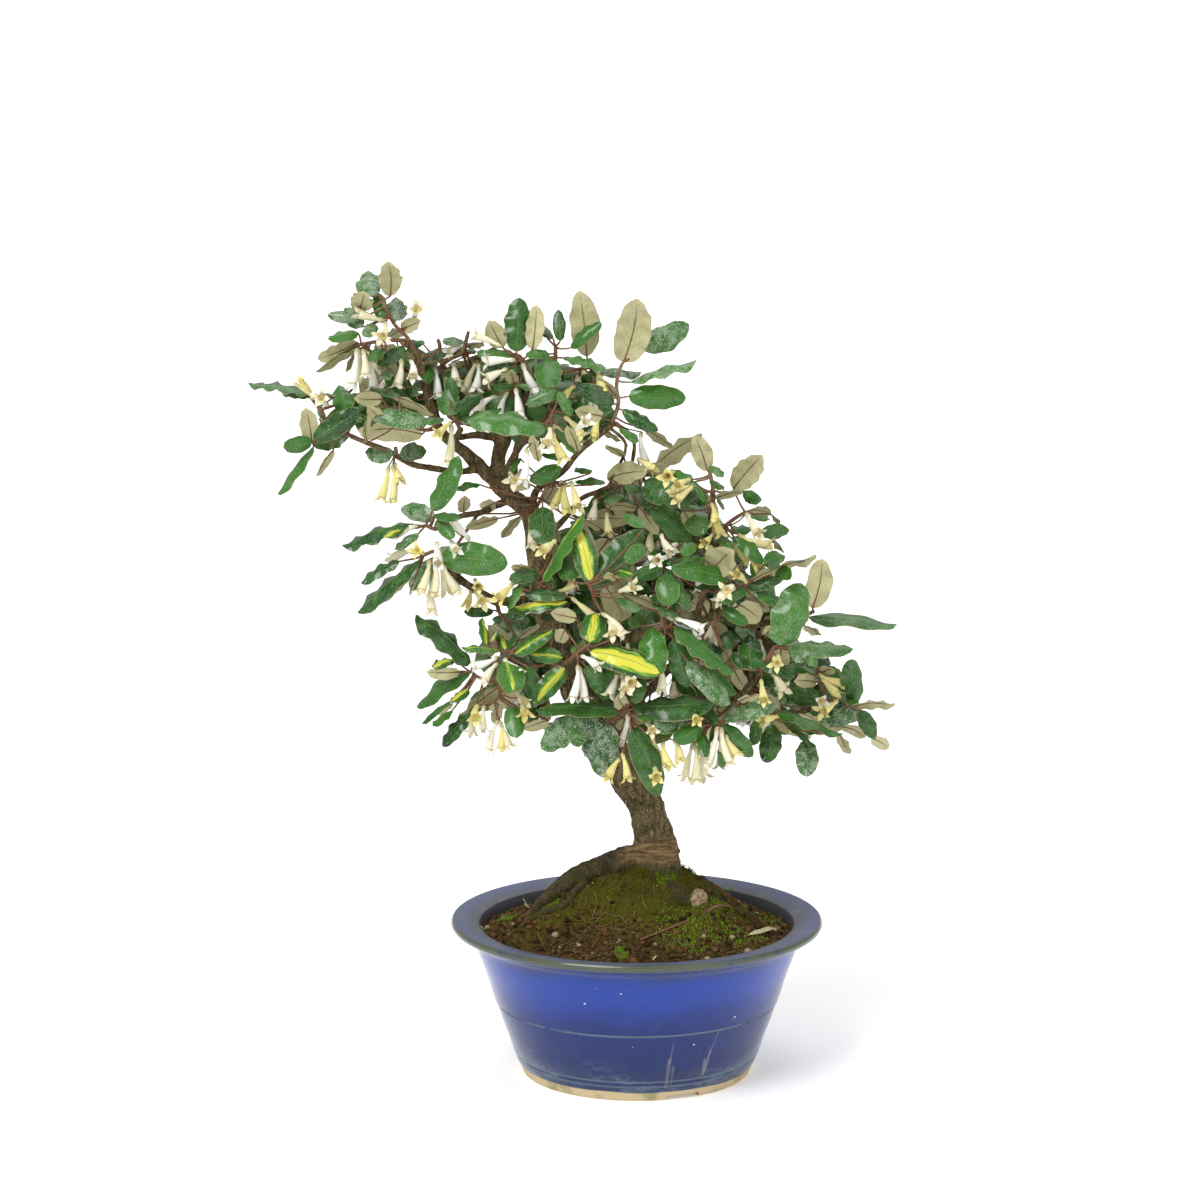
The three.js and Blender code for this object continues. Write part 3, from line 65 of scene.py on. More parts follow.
# The trunk, its limbs and its roots, as rows of x, z, depth and radius
trunkPath = [
    (12, 60, 8, 17), (10, 100, 8, 16), (9.5, 113, 8, 14.2), (9, 128, 7, 10.8), (6, 140, 5, 9.8),
    (2.5, 150, 3, 9.8), (-5, 161, 0, 9.5), (-17, 180, -4, 9), (-32, 208, -8, 8.5), (-44, 238, -6, 8),
    (-50, 262, -2, 7.2), (-52, 285, 2, 6.2), (-57, 304, 5, 5.5), (-66, 312, 7, 5), (-75, 321, 8, 4.6),
]
limbPaths = [
    [
        (-73, 319, 8, 3.8), (-83, 328, 7, 3.7), (-91, 336, 6, 3.3), (-100, 343, 4, 3), (-106, 352, 2, 2.7),
        (-110, 365, 0, 2.4), (-113, 378, -2, 2.2), (-116, 389, -4, 1.9),
    ],
    [(-74, 319, 8, 4.2), (-73, 333, 12, 4), (-70, 345, 14, 4.6)],
    [(-72, 343, 13, 2.1), (-84, 345, 14, 2), (-94, 344, 10, 1.8), (-93, 348, -8, 1.6)],
    [(-72, 319, 8, 2.4), (-66, 332, 4, 2.2), (-60, 342, -4, 2), (-53, 349, -20, 1.7), (-50, 350, -30, 1.5)],
    [(-57, 345, -12, 1.7), (-47, 356, -8, 1.6), (-45, 366, -4, 1.5), (-44, 375, 0, 1.4)],
    [(-60, 341, -4, 1.8), (-62, 355, 0, 1.6), (-58, 368, -6, 1.5), (-57, 378, -10, 1.4)],
    [
        (-83, 327, 7, 2), (-95, 325.5, 2, 1.9), (-105, 327, -2, 1.8), (-120, 330, -6, 1.7),
        (-130, 336, -8, 1.6), (-140, 340, -10, 1.6), (-151, 344.5, -12, 1.5),
    ],
    [(-64, 311, 8, 2.2), (-74, 308, 2, 2.1), (-82, 304, -8, 2), (-93, 302, -22, 1.8), (-100, 298, -34, 1.6)],
    [
        (-49, 262, -2, 2.8), (-62, 256.5, -10, 2.6), (-75, 257, -18, 2.4), (-85, 262, -26, 2.2),
        (-95, 269, -32, 2.1), (-103, 278, -38, 2),
    ],
    [
        (-56, 303, 5, 2.2), (-53, 316, -2, 2), (-46, 320.5, -6, 1.9), (-39, 326, -8, 1.8),
        (-30, 337, -8, 1.7), (-20, 345, -7, 1.6), (-12, 352, -6, 1.5),
    ],
    [
        (-51, 288, 2, 2), (-38, 301, -2, 1.7), (-30, 311, -4, 1.6), (-21, 315, -6, 1.5), (-10, 319, -8, 1.4),
        (-6, 320.5, -8, 1.4),
    ],
    [(-22, 314, -6, 1.4), (-16, 307, 0, 1.3), (-9, 299, 5, 1.2)],
    [
        (-38, 225, -7, 4), (-20, 235, -12, 3.8), (0, 238, -15, 3.4), (20, 242, -15, 3), (36, 246, -18, 2.6),
        (45, 253, -22, 2.2), (45, 261, -32, 1.9),
    ],
    [(31, 245, -17, 2.2), (34, 257, -10, 2), (37, 266, -10, 1.9), (40, 280, -12, 1.8), (44, 292, -15, 1.7)],
    [(41, 284, -13, 1.7), (38, 296, -18, 1.6), (40, 305, -22, 1.5)],
    [(44, 249, -20, 2.2), (60, 243, -25, 2), (70, 245, -28, 1.9), (84, 246, -26, 1.7)],
    [(18, 241, -15, 2), (21, 240, -32, 1.8), (20, 239, -48, 1.6)],
    [(-20, 235, -12, 2.2), (-21, 246, -34, 1.9), (-22, 255, -50, 1.6)],
    [
        (-20, 188, -5, 3.5), (-5, 197, -20, 3.2), (15, 200, -25, 2.8), (35, 203, -25, 2.4),
        (52, 202, -30, 2.2), (60, 211, -38, 1.8), (66, 219.5, -44, 1.6),
    ],
    [
        (50, 202, -29, 2.1), (70, 198, -30, 2), (80, 194, -28, 1.9), (89.5, 196.5, -22, 1.8),
        (98, 200, -16, 1.6),
    ],
    [(24, 201, -26, 2), (31, 196, -36, 1.8), (36, 190, -45, 1.6)],
    [(-6, 196, -20, 2.2), (-4, 190, -36, 1.9), (-3, 188, -52, 1.6)],
    [(-38, 222, -8, 2.4), (-37, 223, -30, 2), (-37, 223, -52, 1.7)],
    [(-42, 232, -7, 2.4), (-53, 232, -24, 2), (-61, 233, -42, 1.7)],
    [(-49, 257, -3, 2.4), (-47, 260, -25, 2), (-46, 261, -43, 1.7)],
    [(-44, 240, -5, 2.6), (-40, 250, 22, 2.2), (-34, 252, 40, 1.8)],
    [(-4, 199, -18, 2.4), (14, 216, 8, 2.1), (22, 228, 32, 1.8)],
    [(20, 242, -14, 2.2), (14, 262, 8, 2), (12, 276, 26, 1.7)],
    [(50, 202, -28, 1.9), (58, 208, -4, 1.8), (60, 210, 14, 1.6)],
    [(-66, 312, 8, 2.2), (-64, 336, 30, 2), (-60, 352, 42, 1.7)],
    [(-104, 349, 3, 2), (-106, 358, 22, 1.8), (-106, 366, 34, 1.6)],
]
rootPaths = [
    [
        (6, 112, 8, 8), (-3, 117, 5, 6.8), (-12, 113, 2, 6.5), (-24, 110, -2, 6), (-34, 105, -6, 5.5),
        (-44, 97, -10, 4.5), (-54, 88, -14, 3), (-60, 80, -16, 2),
    ],
    [
        (-27, 103, -10, 2.4), (-33, 98, -20, 2.2), (-38, 91, -28, 2), (-48, 87, -36, 1.9),
        (-58, 82, -42, 1.7), (-63, 78, -46, 1.4),
    ],
    [(14, 102, 2, 6), (18, 98, -12, 5.6), (26, 93, -22, 5.2), (34, 93.5, -30, 5)],
    [(17, 106, 6, 4), (24, 106, 4, 3), (31, 103, 2, 2.6), (39, 98, 0, 2.2), (48, 89, -2, 1.6)],
]

# The leafy shoots. A shoot starts inside its limb at "from" and runs on through the points x, z of "twig",
# at its own depth. A leaf is base x, base z, tip x, tip z, width as seen, and its look unless it shows a
# plain upper side. A flower is base x, base z, mouth x, mouth z and its tone. A bunch is the place of its
# foot and its flowers.
shoots = {
    "shoot_top_left_tip": {
        "depth": -5,
        "from": (-115.5, 387, -4),
        "twig": [(-121, 397), (-127, 403), (-131, 410), (-135, 419)],
        "leaves": [
            (-129.4, 418.2, -130.3, 436.5, 12, under), (-139, 418, -141, 431.5, 13.5, scurfy),
            (-146, 410.5, -143.2, 421, 12, under), (-144.5, 407.5, -162.5, 408.3, 7, scurfy),
            (-144, 402, -153.5, 412, 9, scurfy), (-133.9, 406, -136.6, 420.8, 8),
            (-126.5, 405.5, -126.5, 417.8, 12.5, scurfy), (-124, 401, -113.5, 405.5, 8, under),
            (-123, 401, -131, 397, 6, under),
        ],
        "flowers": [(-117, 407, -115.5, 411.5, cream)],
        "bunches": {
            "bunch_top_left_tip": [
                (-130, 408), (-132.5, 405, -146, 409, cream), (-132, 404, -134, 397, cream),
            ],
        },
    },
    "shoot_top_left_knob": {
        "depth": -12,
        "from": (-120, 395, -6),
        "twig": [(-130, 395), (-139, 394), (-147, 392.5)],
        "leaves": [
            (-146, 399, -162.3, 395.7, 6), (-146.5, 394, -167.7, 385.2, 9, under),
            (-137, 391, -140.5, 384, 6), (-122, 391.5, -136.5, 382, 8),
            (-148, 389, -152.5, 378.5, 3.5, under),
        ],
        "flowers": [(-124, 385.5, -126, 372, cream), (-119, 384.5, -118, 376.5, white)],
        "bunches": {
            "bunch_top_left_knob": [
                (-143, 393.2), (-147, 391, -150, 372, white), (-144, 390.5, -142.7, 377, cream),
                (-141, 386, -138.5, 371, white), (-145, 391, -147, 376, cream),
            ],
        },
    },
    "shoot_top_left_inner": {
        "depth": 8,
        "from": (-112, 374, -1),
        "twig": [(-106, 379), (-98.5, 385), (-90, 388.5)],
        "leaves": [
            (-112, 393, -122.5, 393.5, 5), (-92, 391.3, -122.5, 383.5, 5), (-108, 383, -112, 373, 8),
            (-124, 370, -133, 372.5, 6), (-91.5, 395, -102, 393.5, 5, scurfy),
            (-90, 391.5, -81, 394.5, 4, under),
        ],
        "flowers": [(-106.5, 381, -105, 366.5, white)],
        "bunches": {
            "bunch_top_left_right": [
                (-91, 388.2), (-84, 384, -90, 370.5, cream), (-83.5, 383, -85, 370, white),
                (-97, 384, -95.5, 374, cream), (-90, 392.5, -99, 389, white),
            ],
        },
    },
    "shoot_top_middle": {
        "depth": -10,
        "from": (-57.2, 376, -9),
        "twig": [(-60, 384), (-63, 387)],
        "leaves": [
            (-65, 385.5, -84.5, 389, 7), (-70.5, 391, -78, 405.5, 11, under), (-63.5, 389, -62, 417.5, 15),
            (-55, 390, -53, 413.5, 10, under), (-61.5, 380, -78.5, 379.5, 5), (-64, 371, -66, 380, 7, under),
            (-65, 371.5, -75.5, 371.5, 4),
        ],
        "bunches": {
            "bunch_top_middle": [
                (-60.5, 384.5), (-71, 391.5, -85, 397.5, cream), (-60.5, 383, -54.5, 370, white),
                (-64, 384.5, -79, 384, white), (-68, 380, -79, 375, cream),
            ],
            "bunch_top_middle_low": [
                (-58.6, 380), (-64, 370, -62, 356.5, white), (-68, 368, -72.5, 354, white),
                (-73, 366, -85, 358, white),
            ],
        },
    },
    "shoot_top_centre": {
        "depth": 0,
        "from": (-44, 373, -1),
        "twig": [(-43, 386), (-43, 392)],
        "side": [(-43.6, 377), (-30, 380), (-22, 381)],
        "leaves": [
            (-40.5, 394.5, -41.5, 411.3, 7), (-48, 386.5, -47, 369.7, 14.5), (-46, 388, -58.5, 387, 5.5),
            (-26.5, 386.5, -30.5, 421, 16, under), (-35, 391, -19, 404.5, 7), (-39, 386, -16, 380.5, 5),
            (-27, 378.5, 2, 378.5, 4, scurfy),
        ],
        "flowers": [(-33, 371, -38.5, 365, yellow), (-21, 380, -18.5, 369.5, yellow)],
    },
    "shoot_top_right": {
        "depth": -5,
        "from": (-13.5, 351, -6),
        "twig": [(-10, 362), (-11, 370), (-10, 378), (-8, 383)],
        "leaves": [
            (-7.3, 383.5, 0, 417, 19, under), (1.5, 391.5, 27, 403.5, 14, scurfy),
            (-4, 373, 31, 385, 4, scurfy), (-4.7, 365.7, 25.5, 364.5, 13.3), (-12, 361.5, -32, 370, 10),
            (-9.5, 363.5, -21, 376, 5, under), (-8, 358.5, 11, 347.5, 8), (4, 348.5, 19, 338.5, 5.5, under),
            (-9, 349, 0, 341, 5),
        ],
        "flowers": [(2, 347, 4.5, 331, white)],
    },
    "shoot_left_tip": {
        "depth": -10,
        "from": (-149, 343.8, -12),
        "twig": [(-157, 347.5), (-163, 352), (-168, 360), (-172.5, 366)],
        "side": [(-155, 346.5), (-163, 343), (-171, 341)],
        "leaves": [
            (-172.5, 366.5, -204.5, 373, 4), (-172.5, 365, -186.5, 367, 3.8), (-153, 358, -157, 371.5, 12),
            (-165, 352.5, -166, 360.5, 4), (-148, 358, -141, 365, 4),
            (-171.5, 341, -174.5, 359.5, 10, under), (-171, 342, -186.5, 338.5, 9),
            (-170.5, 342.5, -146, 358.5, 12), (-171, 340.5, -151.5, 345, 12),
            (-170.5, 339, -190, 313.5, 4.5), (-160, 337.5, -170, 323, 3.5, under),
        ],
        "flowers": [(-170, 364, -176.5, 372, yellow), (-163, 361, -166.5, 365, cream)],
    },
    "shoot_left_upper": {
        "depth": -22,
        "from": (-104, 348.5, 3),
        "twig": [(-108, 348, -10), (-114, 348), (-125, 352)],
        "leaves": [
            (-134, 364, -149, 364.5, 8, under), (-129, 366, -107, 355.7, 4.5, under),
            (-125, 365.5, -141, 370, 4), (-110.5, 352, -139, 356, 10.5, scurfy),
            (-113, 345.5, -147, 347.5, 11, under), (-133, 352, -142, 361, 7, under),
            (-142.5, 341, -142, 356, 4, under), (-102, 354, -113, 352, 4),
        ],
    },
    "shoot_left_middle": {
        "depth": -9,
        "from": (-127, 334, -7.5),
        "twig": [(-127.4, 338.5)],
        "leaves": [(-128.5, 335, -143.5, 336, 9.5, scurfy), (-125.5, 334.5, -111, 336.5, 10, scurfy)],
        "bunches": {
            "bunch_left_middle": [
                (-127, 336.5), (-131, 329, -135, 311.5, yellow), (-129, 329.5, -129, 310.5, yellow),
                (-128, 330, -125.3, 321.5, yellow),
            ],
        },
    },
    "shoot_left_inner": {
        "depth": -20,
        "from": (-93, 347.5, -7),
        "twig": [(-96, 353), (-98, 355.5)],
        "leaves": [
            (-98, 376, -96, 362.5, 7), (-98.5, 355.5, -99, 370, 12), (-97, 356, -81.5, 367, 8),
            (-93, 352, -71.5, 359.5, 5),
        ],
        "bunches": {
            "bunch_left_inner": [
                (-95.5, 352.5), (-98, 352, -104.5, 346, yellow), (-98, 351, -99.5, 331, cream),
            ],
        },
    },
    "shoot_centre_top": {
        "depth": -35,
        "from": (-51, 349.8, -29),
        "twig": [(-47, 352), (-44, 358)],
        "leaves": [
            (-47.5, 348.5, -89.5, 353, 11.5), (-41, 367.5, -59, 361, 7.5), (-41, 368, -35, 355, 6),
            (-18, 355, -33, 358, 9, under), (-31, 336, -37, 350, 7, under), (-33, 335, -43, 349, 4),
            (-40, 332, -50, 335.5, 4), (-52, 331, -55, 345, 6, under),
        ],
        "flowers": [(-58.5, 338, -60.5, 320.5, white)],
        "bunches": {
            "bunch_centre_top": [
                (-46.4, 353), (-38.5, 355, -29.5, 345, yellow), (-33, 347, -27, 352, white),
                (-45, 347, -39.5, 333, yellow), (-46, 349, -47.5, 341, cream),
            ],
        },
    },
    "shoot_left_low_upper": {
        "depth": -40,
        "from": (-99, 298.4, -33),
        "twig": [(-107, 295), (-112, 297)],
        "leaves": [
            (-108.5, 304.5, -94, 334, 11.5), (-120, 298, -156.5, 286.5, 6.5),
            (-107, 301, -125, 306, 10, scurfy), (-107, 303, -93.5, 301, 5), (-106, 300, -97, 290, 7.5),
            (-124, 295, -134, 290.5, 4, gold), (-115.5, 293, -128.5, 284, 5, scurfy),
        ],
        "flowers": [(-88.5, 289, -98, 299, white), (-116, 297, -128, 291.5, cream)],
    },
    "shoot_left_low": {
        "depth": -40,
        "from": (-102, 277, -37),
        "twig": [(-107, 283), (-113, 281)],
        "leaves": [
            (-126, 278, -146.5, 266, 6), (-115.5, 278.5, -148.5, 250, 8), (-104, 280, -68.5, 276.5, 18),
        ],
        "flowers": [(-118, 283, -129, 279.5, cream)],
        "bunches": {
            "bunch_left_low": [
                (-107, 283), (-110, 279, -114.5, 262, cream), (-107.5, 279, -108, 260.5, cream),
                (-105, 278, -101.5, 262, cream), (-103, 276, -95.5, 262, cream),
                (-108.5, 268, -109, 251.5, cream), (-106, 288, -105.5, 277.5, white),
            ],
        },
    },
    "shoot_trunk_upper": {
        "depth": -15,
        "from": (-55, 304, 4),
        "twig": [(-52, 309, -8), (-49, 315), (-47, 320)],
        "leaves": [
            (-50, 307, -49, 286.5, 15), (-62, 302, -71.5, 290, 5, under), (-73, 301, -91, 296, 6, under),
            (-40, 328, -57, 320.5, 9.5), (-56, 319, -67, 317, 7, under), (-44, 319, -49, 309, 8, under),
            (-75, 309.5, -83, 306.5, 7, under), (-83, 319, -96, 315.5, 4), (-92, 304, -91, 313, 7, under),
            (-24.5, 325, -32.5, 328, 4), (-17, 319.5, -33, 320.5, 4), (-17.5, 294, -31, 300.5, 4.5, under),
        ],
        "flowers": [(-55, 300, -55.5, 287, cream)],
        "bunches": {
            "bunch_centre": [
                (-48.2, 317), (-40, 321, -43.5, 308.5, yellow), (-38, 320, -37.5, 306, yellow),
                (-35, 320.5, -31.5, 307, yellow),
            ],
        },
    },
    "shoot_centre_low": {
        "depth": -48,
        "from": (-46, 260.9, -41.5),
        "twig": [(-52, 266), (-56, 268)],
        "leaves": [
            (-50.5, 267, -28.5, 304, 5, gold), (-52, 271, -68, 268, 8), (-53, 267, -66.5, 270, 6),
            (-62, 266, -68.5, 252, 5), (-57, 273, -66, 276, 5, under), (-37, 259.5, -59.5, 260, 7),
            (-37, 256, -65, 253.5, 6, gold),
        ],
        "flowers": [(-43, 289, -49.5, 284, yellow), (-66, 265.5, -73, 258.5, yellow)],
        "bunches": {
            "bunch_centre_low": [
                (-49.5, 263.5), (-38, 263.5, -33, 266, yellow), (-35, 258.5, -23, 248, yellow),
            ],
        },
    },
    "shoot_centre_right": {
        "depth": -60,
        "from": (-22, 254.5, -48.5),
        "twig": [(-24, 262), (-26, 266)],
        "leaves": [
            (-36.5, 267.5, -37.5, 287, 14), (-24.5, 267, -31.5, 296, 13, gold), (-23, 267, 3.5, 294.5, 17),
            (-10, 273, -2, 271, 5, gold), (-17, 265, -6, 246.5, 14, under), (-11, 258, 1, 251, 6),
            (4, 296, -7, 303, 6), (5, 286, -6, 277, 8),
        ],
        "flowers": [(-19, 250, -8, 239, cream)],
    },
    "shoot_left_middle_low": {
        "depth": -25,
        "from": (-74.5, 257, -17.5),
        "twig": [(-73, 250), (-70, 246)],
        "leaves": [
            (-76, 251.5, -92, 250.5, 6), (-57, 245.5, -77, 246.5, 8), (-63.5, 236.5, -52.5, 244.5, 4, under),
        ],
        "flowers": [(-86, 262, -82, 256, yellow), (-86, 268, -84, 264, yellow)],
    },
    "shoot_left_bottom": {
        "depth": -44,
        "from": (-60, 232.9, -40),
        "twig": [(-67, 230), (-72, 229)],
        "side": [(-66, 230.4), (-71, 221), (-76, 213), (-84, 215), (-88, 218)],
        "sideTwo": [(-74.6, 215.6), (-73, 206), (-76, 202)],
        "leaves": [
            (-80, 232.5, -82, 247.5, 5, gold), (-73, 229.5, -93.5, 231.5, 4, gold),
            (-70, 230, -73, 238.5, 6, gold), (-68.5, 230, -66.5, 239, 4), (-70, 225, -65.5, 207.5, 15, gold),
            (-58, 221, -53, 201, 8.5), (-65, 227.5, -45, 241, 8, gold), (-39.5, 226, -57, 227.5, 9, gold),
            (-38.5, 220.5, -55, 201, 11, gold), (-88, 222, -117.5, 249, 10),
            (-97, 225, -109, 220.5, 5, gold), (-94, 218, -112, 218, 7, under), (-88.5, 218, -117.5, 199, 8),
            (-90, 209, -99, 202, 5, gold), (-98.5, 197.5, -109, 188.5, 4),
            (-72.5, 211, -96.5, 190, 7, under), (-88.5, 196, -104, 177.5, 7.5),
            (-74, 200.5, -75.5, 190.5, 6, under), (-67.5, 199.5, -64, 182, 11),
            (-47, 192, -61, 187, 6, under),
        ],
        "flowers": [
            (-61, 204, -59.5, 195.5, yellow), (-74, 192, -79, 176, cream), (-73, 191.5, -72.5, 177, yellow),
            (-73, 190, -68.5, 178, cream),
        ],
        "bunches": {
            "bunch_left_bottom_upper": [
                (-69, 226), (-74, 226.5, -86, 221.5, white), (-74, 223, -81, 214, cream),
                (-70.5, 225, -64, 219, white),
            ],
            "bunch_left_bottom": [
                (-82, 214.5), (-86, 199.5, -88, 186, cream), (-81.5, 200, -82, 187, cream),
            ],
        },
    },
    "shoot_trunk_front": {
        "depth": -68,
        "from": (-37, 223, -50),
        "twig": [(-32, 228), (-27, 232)],
        "leaves": [
            (-25, 229, 12, 217.5, 14, gold), (-27, 221, -15.5, 203, 9), (-25, 234, -22, 250, 14, gold),
            (-35, 229, -17, 240, 5), (-13, 236, -23, 237, 6), (-38, 241, -41, 234, 8, under),
            (-32, 247, -46, 250, 8, under),
        ],
        "bunches": {
            "bunch_trunk_front": [
                (-32, 228), (-31.5, 222, -34, 204.5, white), (-31, 221.5, -28, 204.5, white),
                (-30, 227, -21.5, 221.5, white),
            ],
        },
    },
    "shoot_bottom_middle": {
        "depth": -62,
        "from": (-3, 188.1, -50),
        "twig": [(-4, 195), (-6, 199)],
        "leaves": [
            (-9.5, 196, -54, 197.5, 9), (-28, 193.5, -51, 176, 15, scurfy), (-24, 195, -16, 160, 19, scurfy),
            (-26, 186, -34, 178, 7, scurfy), (-3, 187, 12.5, 150.5, 15), (-2, 198.5, 41, 201.5, 13),
            (3, 215, -1, 201, 7), (-6, 198, -10, 206, 8, under),
        ],
        "flowers": [
            (-5, 195.5, -6.5, 182, white), (5, 190, 8, 186, cream), (-10, 217.5, -14.5, 206, cream),
            (-5, 217, -2.5, 212, cream), (-9, 171, -15, 161.5, yellow), (-8, 174, -5, 160.5, yellow),
            (9.5, 166, 10.5, 160.5, yellow), (7.5, 184, 14, 168.5, yellow), (14, 180, 17, 168, yellow),
            (20, 181, 23, 171, yellow),
        ],
    },
    "shoot_middle": {
        "depth": -60,
        "from": (20, 239, -46),
        "twig": [(14, 243), (13, 250)],
        "leaves": [
            (-11, 261.5, 19, 250, 5, under), (7.5, 241.5, 11, 216, 15), (19.5, 236, 27, 209.5, 13),
            (17, 253.5, 14.5, 271.5, 13), (28.5, 251.5, 16, 274, 8), (8, 255, 30, 243, 4),
            (20, 243, 51.5, 217.5, 9), (27, 224, 49.5, 200.5, 11, scurfy), (9, 240, 2, 249, 7),
        ],
        "bunches": {
            "bunch_middle": [
                (16.5, 241.5), (15, 249, 31, 236.5, white), (20, 247, 33.5, 242, white),
                (12.5, 221, 13, 209, cream),
            ],
        },
    },
    "shoot_bottom_right": {
        "depth": -55,
        "from": (35.5, 190.5, -44),
        "twig": [(42, 190), (46, 191)],
        "leaves": [
            (42.5, 189.5, 32.5, 199.5, 8), (25, 192.5, 9, 188, 11, scurfy), (35, 189, 19.5, 181, 10),
            (35, 185, 36.5, 171.5, 7), (44.5, 189, 62, 172, 10), (46, 193, 74.5, 200, 9.5, scurfy),
            (45, 176, 45.5, 165.5, 4.5),
        ],
        "flowers": [
            (30, 179.5, 26, 161.5, cream), (30.5, 179.5, 31, 159.5, cream), (33, 176, 35.5, 162, cream),
        ],
        "bunches": {
            "bunch_bottom_right": [
                (43, 190.2), (43, 188.5, 38, 167.5, cream), (44, 188.5, 44.5, 167, cream),
                (45, 188, 49.5, 168.5, cream), (47, 184, 53, 173.5, yellow),
            ],
        },
    },
    "shoot_right_inner": {
        "depth": -38,
        "from": (44.5, 252.6, -22),
        "twig": [(42, 246), (35, 243)],
        "leaves": [
            (36, 220.5, 53, 206, 8.5), (45, 253, 59, 244, 7), (54, 254.5, 65.5, 246, 12, under),
            (45, 231, 50, 240, 10), (51.5, 219.5, 58, 208.5, 8, under), (31, 213, 41, 207, 5, under),
            (30, 226, 43, 220, 4, under),
        ],
    },
    "shoot_right_top": {
        "depth": -28,
        "from": (39.8, 303.5, -21.5),
        "twig": [(40, 316), (38, 326)],
        "leaves": [
            (31, 314, 16, 308, 8), (35, 292, 27, 308, 13), (44, 288, 33.5, 295.5, 5),
            (37, 326, 30, 345, 11, under), (39, 329, 44.5, 322.5, 5), (41, 311.5, 56, 315.5, 4.5, under),
            (56, 315.5, 65, 309.5, 7), (29, 321.5, 17.5, 327, 5), (24, 305, 31, 293, 8, under),
        ],
        "bunches": {
            "bunch_right_top": [
                (40, 316), (31, 319.5, 18.5, 314.5, yellow), (30, 318, 21, 311, yellow),
                (39, 309, 41, 299.5, yellow), (41, 303, 44.5, 292.5, yellow),
            ],
        },
    },
    "shoot_middle_top": {
        "depth": -8,
        "from": (-8, 319.8, -8),
        "twig": [(-1, 322), (5, 324)],
        "leaves": [
            (4, 323, 34, 346, 9, under), (4, 321, 16, 310, 13), (8, 308, 27.5, 287, 13),
            (1, 307, 11, 292, 8, under), (0, 306, -17, 308, 5, under), (-16, 322, 5, 326, 12, under),
            (-7, 333.5, -16.5, 340, 4.5, under), (-8, 314, -17, 309, 4),
        ],
        "flowers": [
            (0, 332.5, 8, 328, yellow), (20, 325, 15.5, 322.5, yellow), (-16, 304, -15, 293, yellow),
            (-22, 311, -24, 300, cream),
        ],
    },
    "shoot_right_upper": {
        "depth": -22,
        "from": (43.8, 291, -14.8),
        "twig": [(47, 297), (52, 301), (57, 304)],
        "leaves": [
            (50.5, 316.5, 66, 334.5, 14, under), (58.5, 305, 70.5, 303, 6, under),
            (65, 292.5, 80.5, 294.5, 8.5), (48, 294, 60, 296, 5.5), (51, 291, 66.5, 276.5, 8),
            (46.5, 291, 50, 283.5, 6),
        ],
        "bunches": {
            "bunch_right_upper": [
                (48, 298), (57.5, 303.5, 63.5, 293, cream), (53, 292, 69.5, 286.5, yellow),
                (51, 288.5, 58, 279, yellow),
            ],
        },
    },
    "shoot_right_middle": {
        "depth": -38,
        "from": (45, 260, -31),
        "twig": [(52, 264), (60, 267)],
        "leaves": [
            (58.5, 263, 78, 270.5, 7), (60, 267.5, 94.5, 281.5, 5, under), (62, 262.5, 82, 251.5, 7),
            (58, 262, 70, 251, 7, under), (58, 262, 43, 255.5, 6), (67, 276, 78.5, 280.5, 9),
            (73, 272, 82, 270, 8), (39, 272, 51, 284, 18, under), (48.5, 268.5, 18, 274.5, 11),
            (48, 265, 30, 264, 4), (36, 279.5, 15.5, 277, 5), (14, 273.5, -2.5, 268.5, 8),
            (31, 287, 24, 281, 7),
        ],
        "flowers": [
            (12.5, 292.5, 17.5, 283.5, cream), (16, 280, 10, 278, white), (58, 266, 53, 270.5, yellow),
            (52, 264, 43.5, 256.5, cream),
        ],
    },
    "shoot_right_low": {
        "depth": -48,
        "from": (65.3, 218.6, -43.5),
        "twig": [(70, 226), (73, 232)],
        "leaves": [
            (75.5, 232.5, 87, 266, 19), (61, 219.5, 60, 238.5, 13.5), (56, 220, 51.5, 229, 6),
            (80, 231, 115, 230.5, 9), (77, 231, 78, 221.5, 10, under), (84, 215.5, 64.5, 223.5, 7),
            (91, 230, 93.5, 221, 6),
        ],
        "flowers": [(72, 218, 77.5, 209, cream), (66, 214, 67.5, 203, yellow), (75, 227, 74, 222.5, yellow)],
    },
    "shoot_right_tip_upper": {
        "depth": -25,
        "from": (83, 246, -26),
        "twig": [(90, 249), (94, 251)],
        "leaves": [
            (93, 252.5, 98, 279, 14, under), (91, 247.7, 138, 244, 6.5), (89, 243, 97, 238, 4, under),
        ],
    },
    "shoot_right_tip": {
        "depth": -17,
        "from": (97, 199.5, -16.7),
        "twig": [(103, 202), (108, 204), (112, 201)],
        "side": [(101.5, 201.4), (97.5, 213), (96, 221)],
        "leaves": [
            (94.5, 217, 84, 221.5, 5), (98, 204, 107, 210, 8), (98, 217, 105, 219.5, 6, under),
            (95.5, 212.5, 83.5, 213, 8, under), (97, 204, 79, 207, 11.5), (78, 200, 72, 210, 6.5, scurfy),
            (75, 197, 69, 206, 8, under), (116.5, 201, 114, 225, 12), (98, 191.5, 120, 196.5, 10, scurfy),
            (119, 197.5, 127, 181.5, 9), (109, 188.5, 122, 182.5, 6, under),
            (125, 182.5, 134.5, 176.5, 7, under), (113, 199, 138, 201, 4.5, under),
        ],
        "bunches": {
            "bunch_right_tip": [
                (97, 214), (96.5, 217, 109, 212, yellow), (98, 215, 106, 206.5, yellow),
                (107, 203, 99, 197, yellow),
            ],
        },
    },
    "shoot_right_bottom": {
        "depth": -32,
        "from": (71, 197.5, -29.8),
        "twig": [(73, 193), (78, 191)],
        "leaves": [
            (72, 189.5, 69, 168.5, 12), (63, 192, 62, 178, 7), (89.5, 181, 91, 161, 12.5, scurfy),
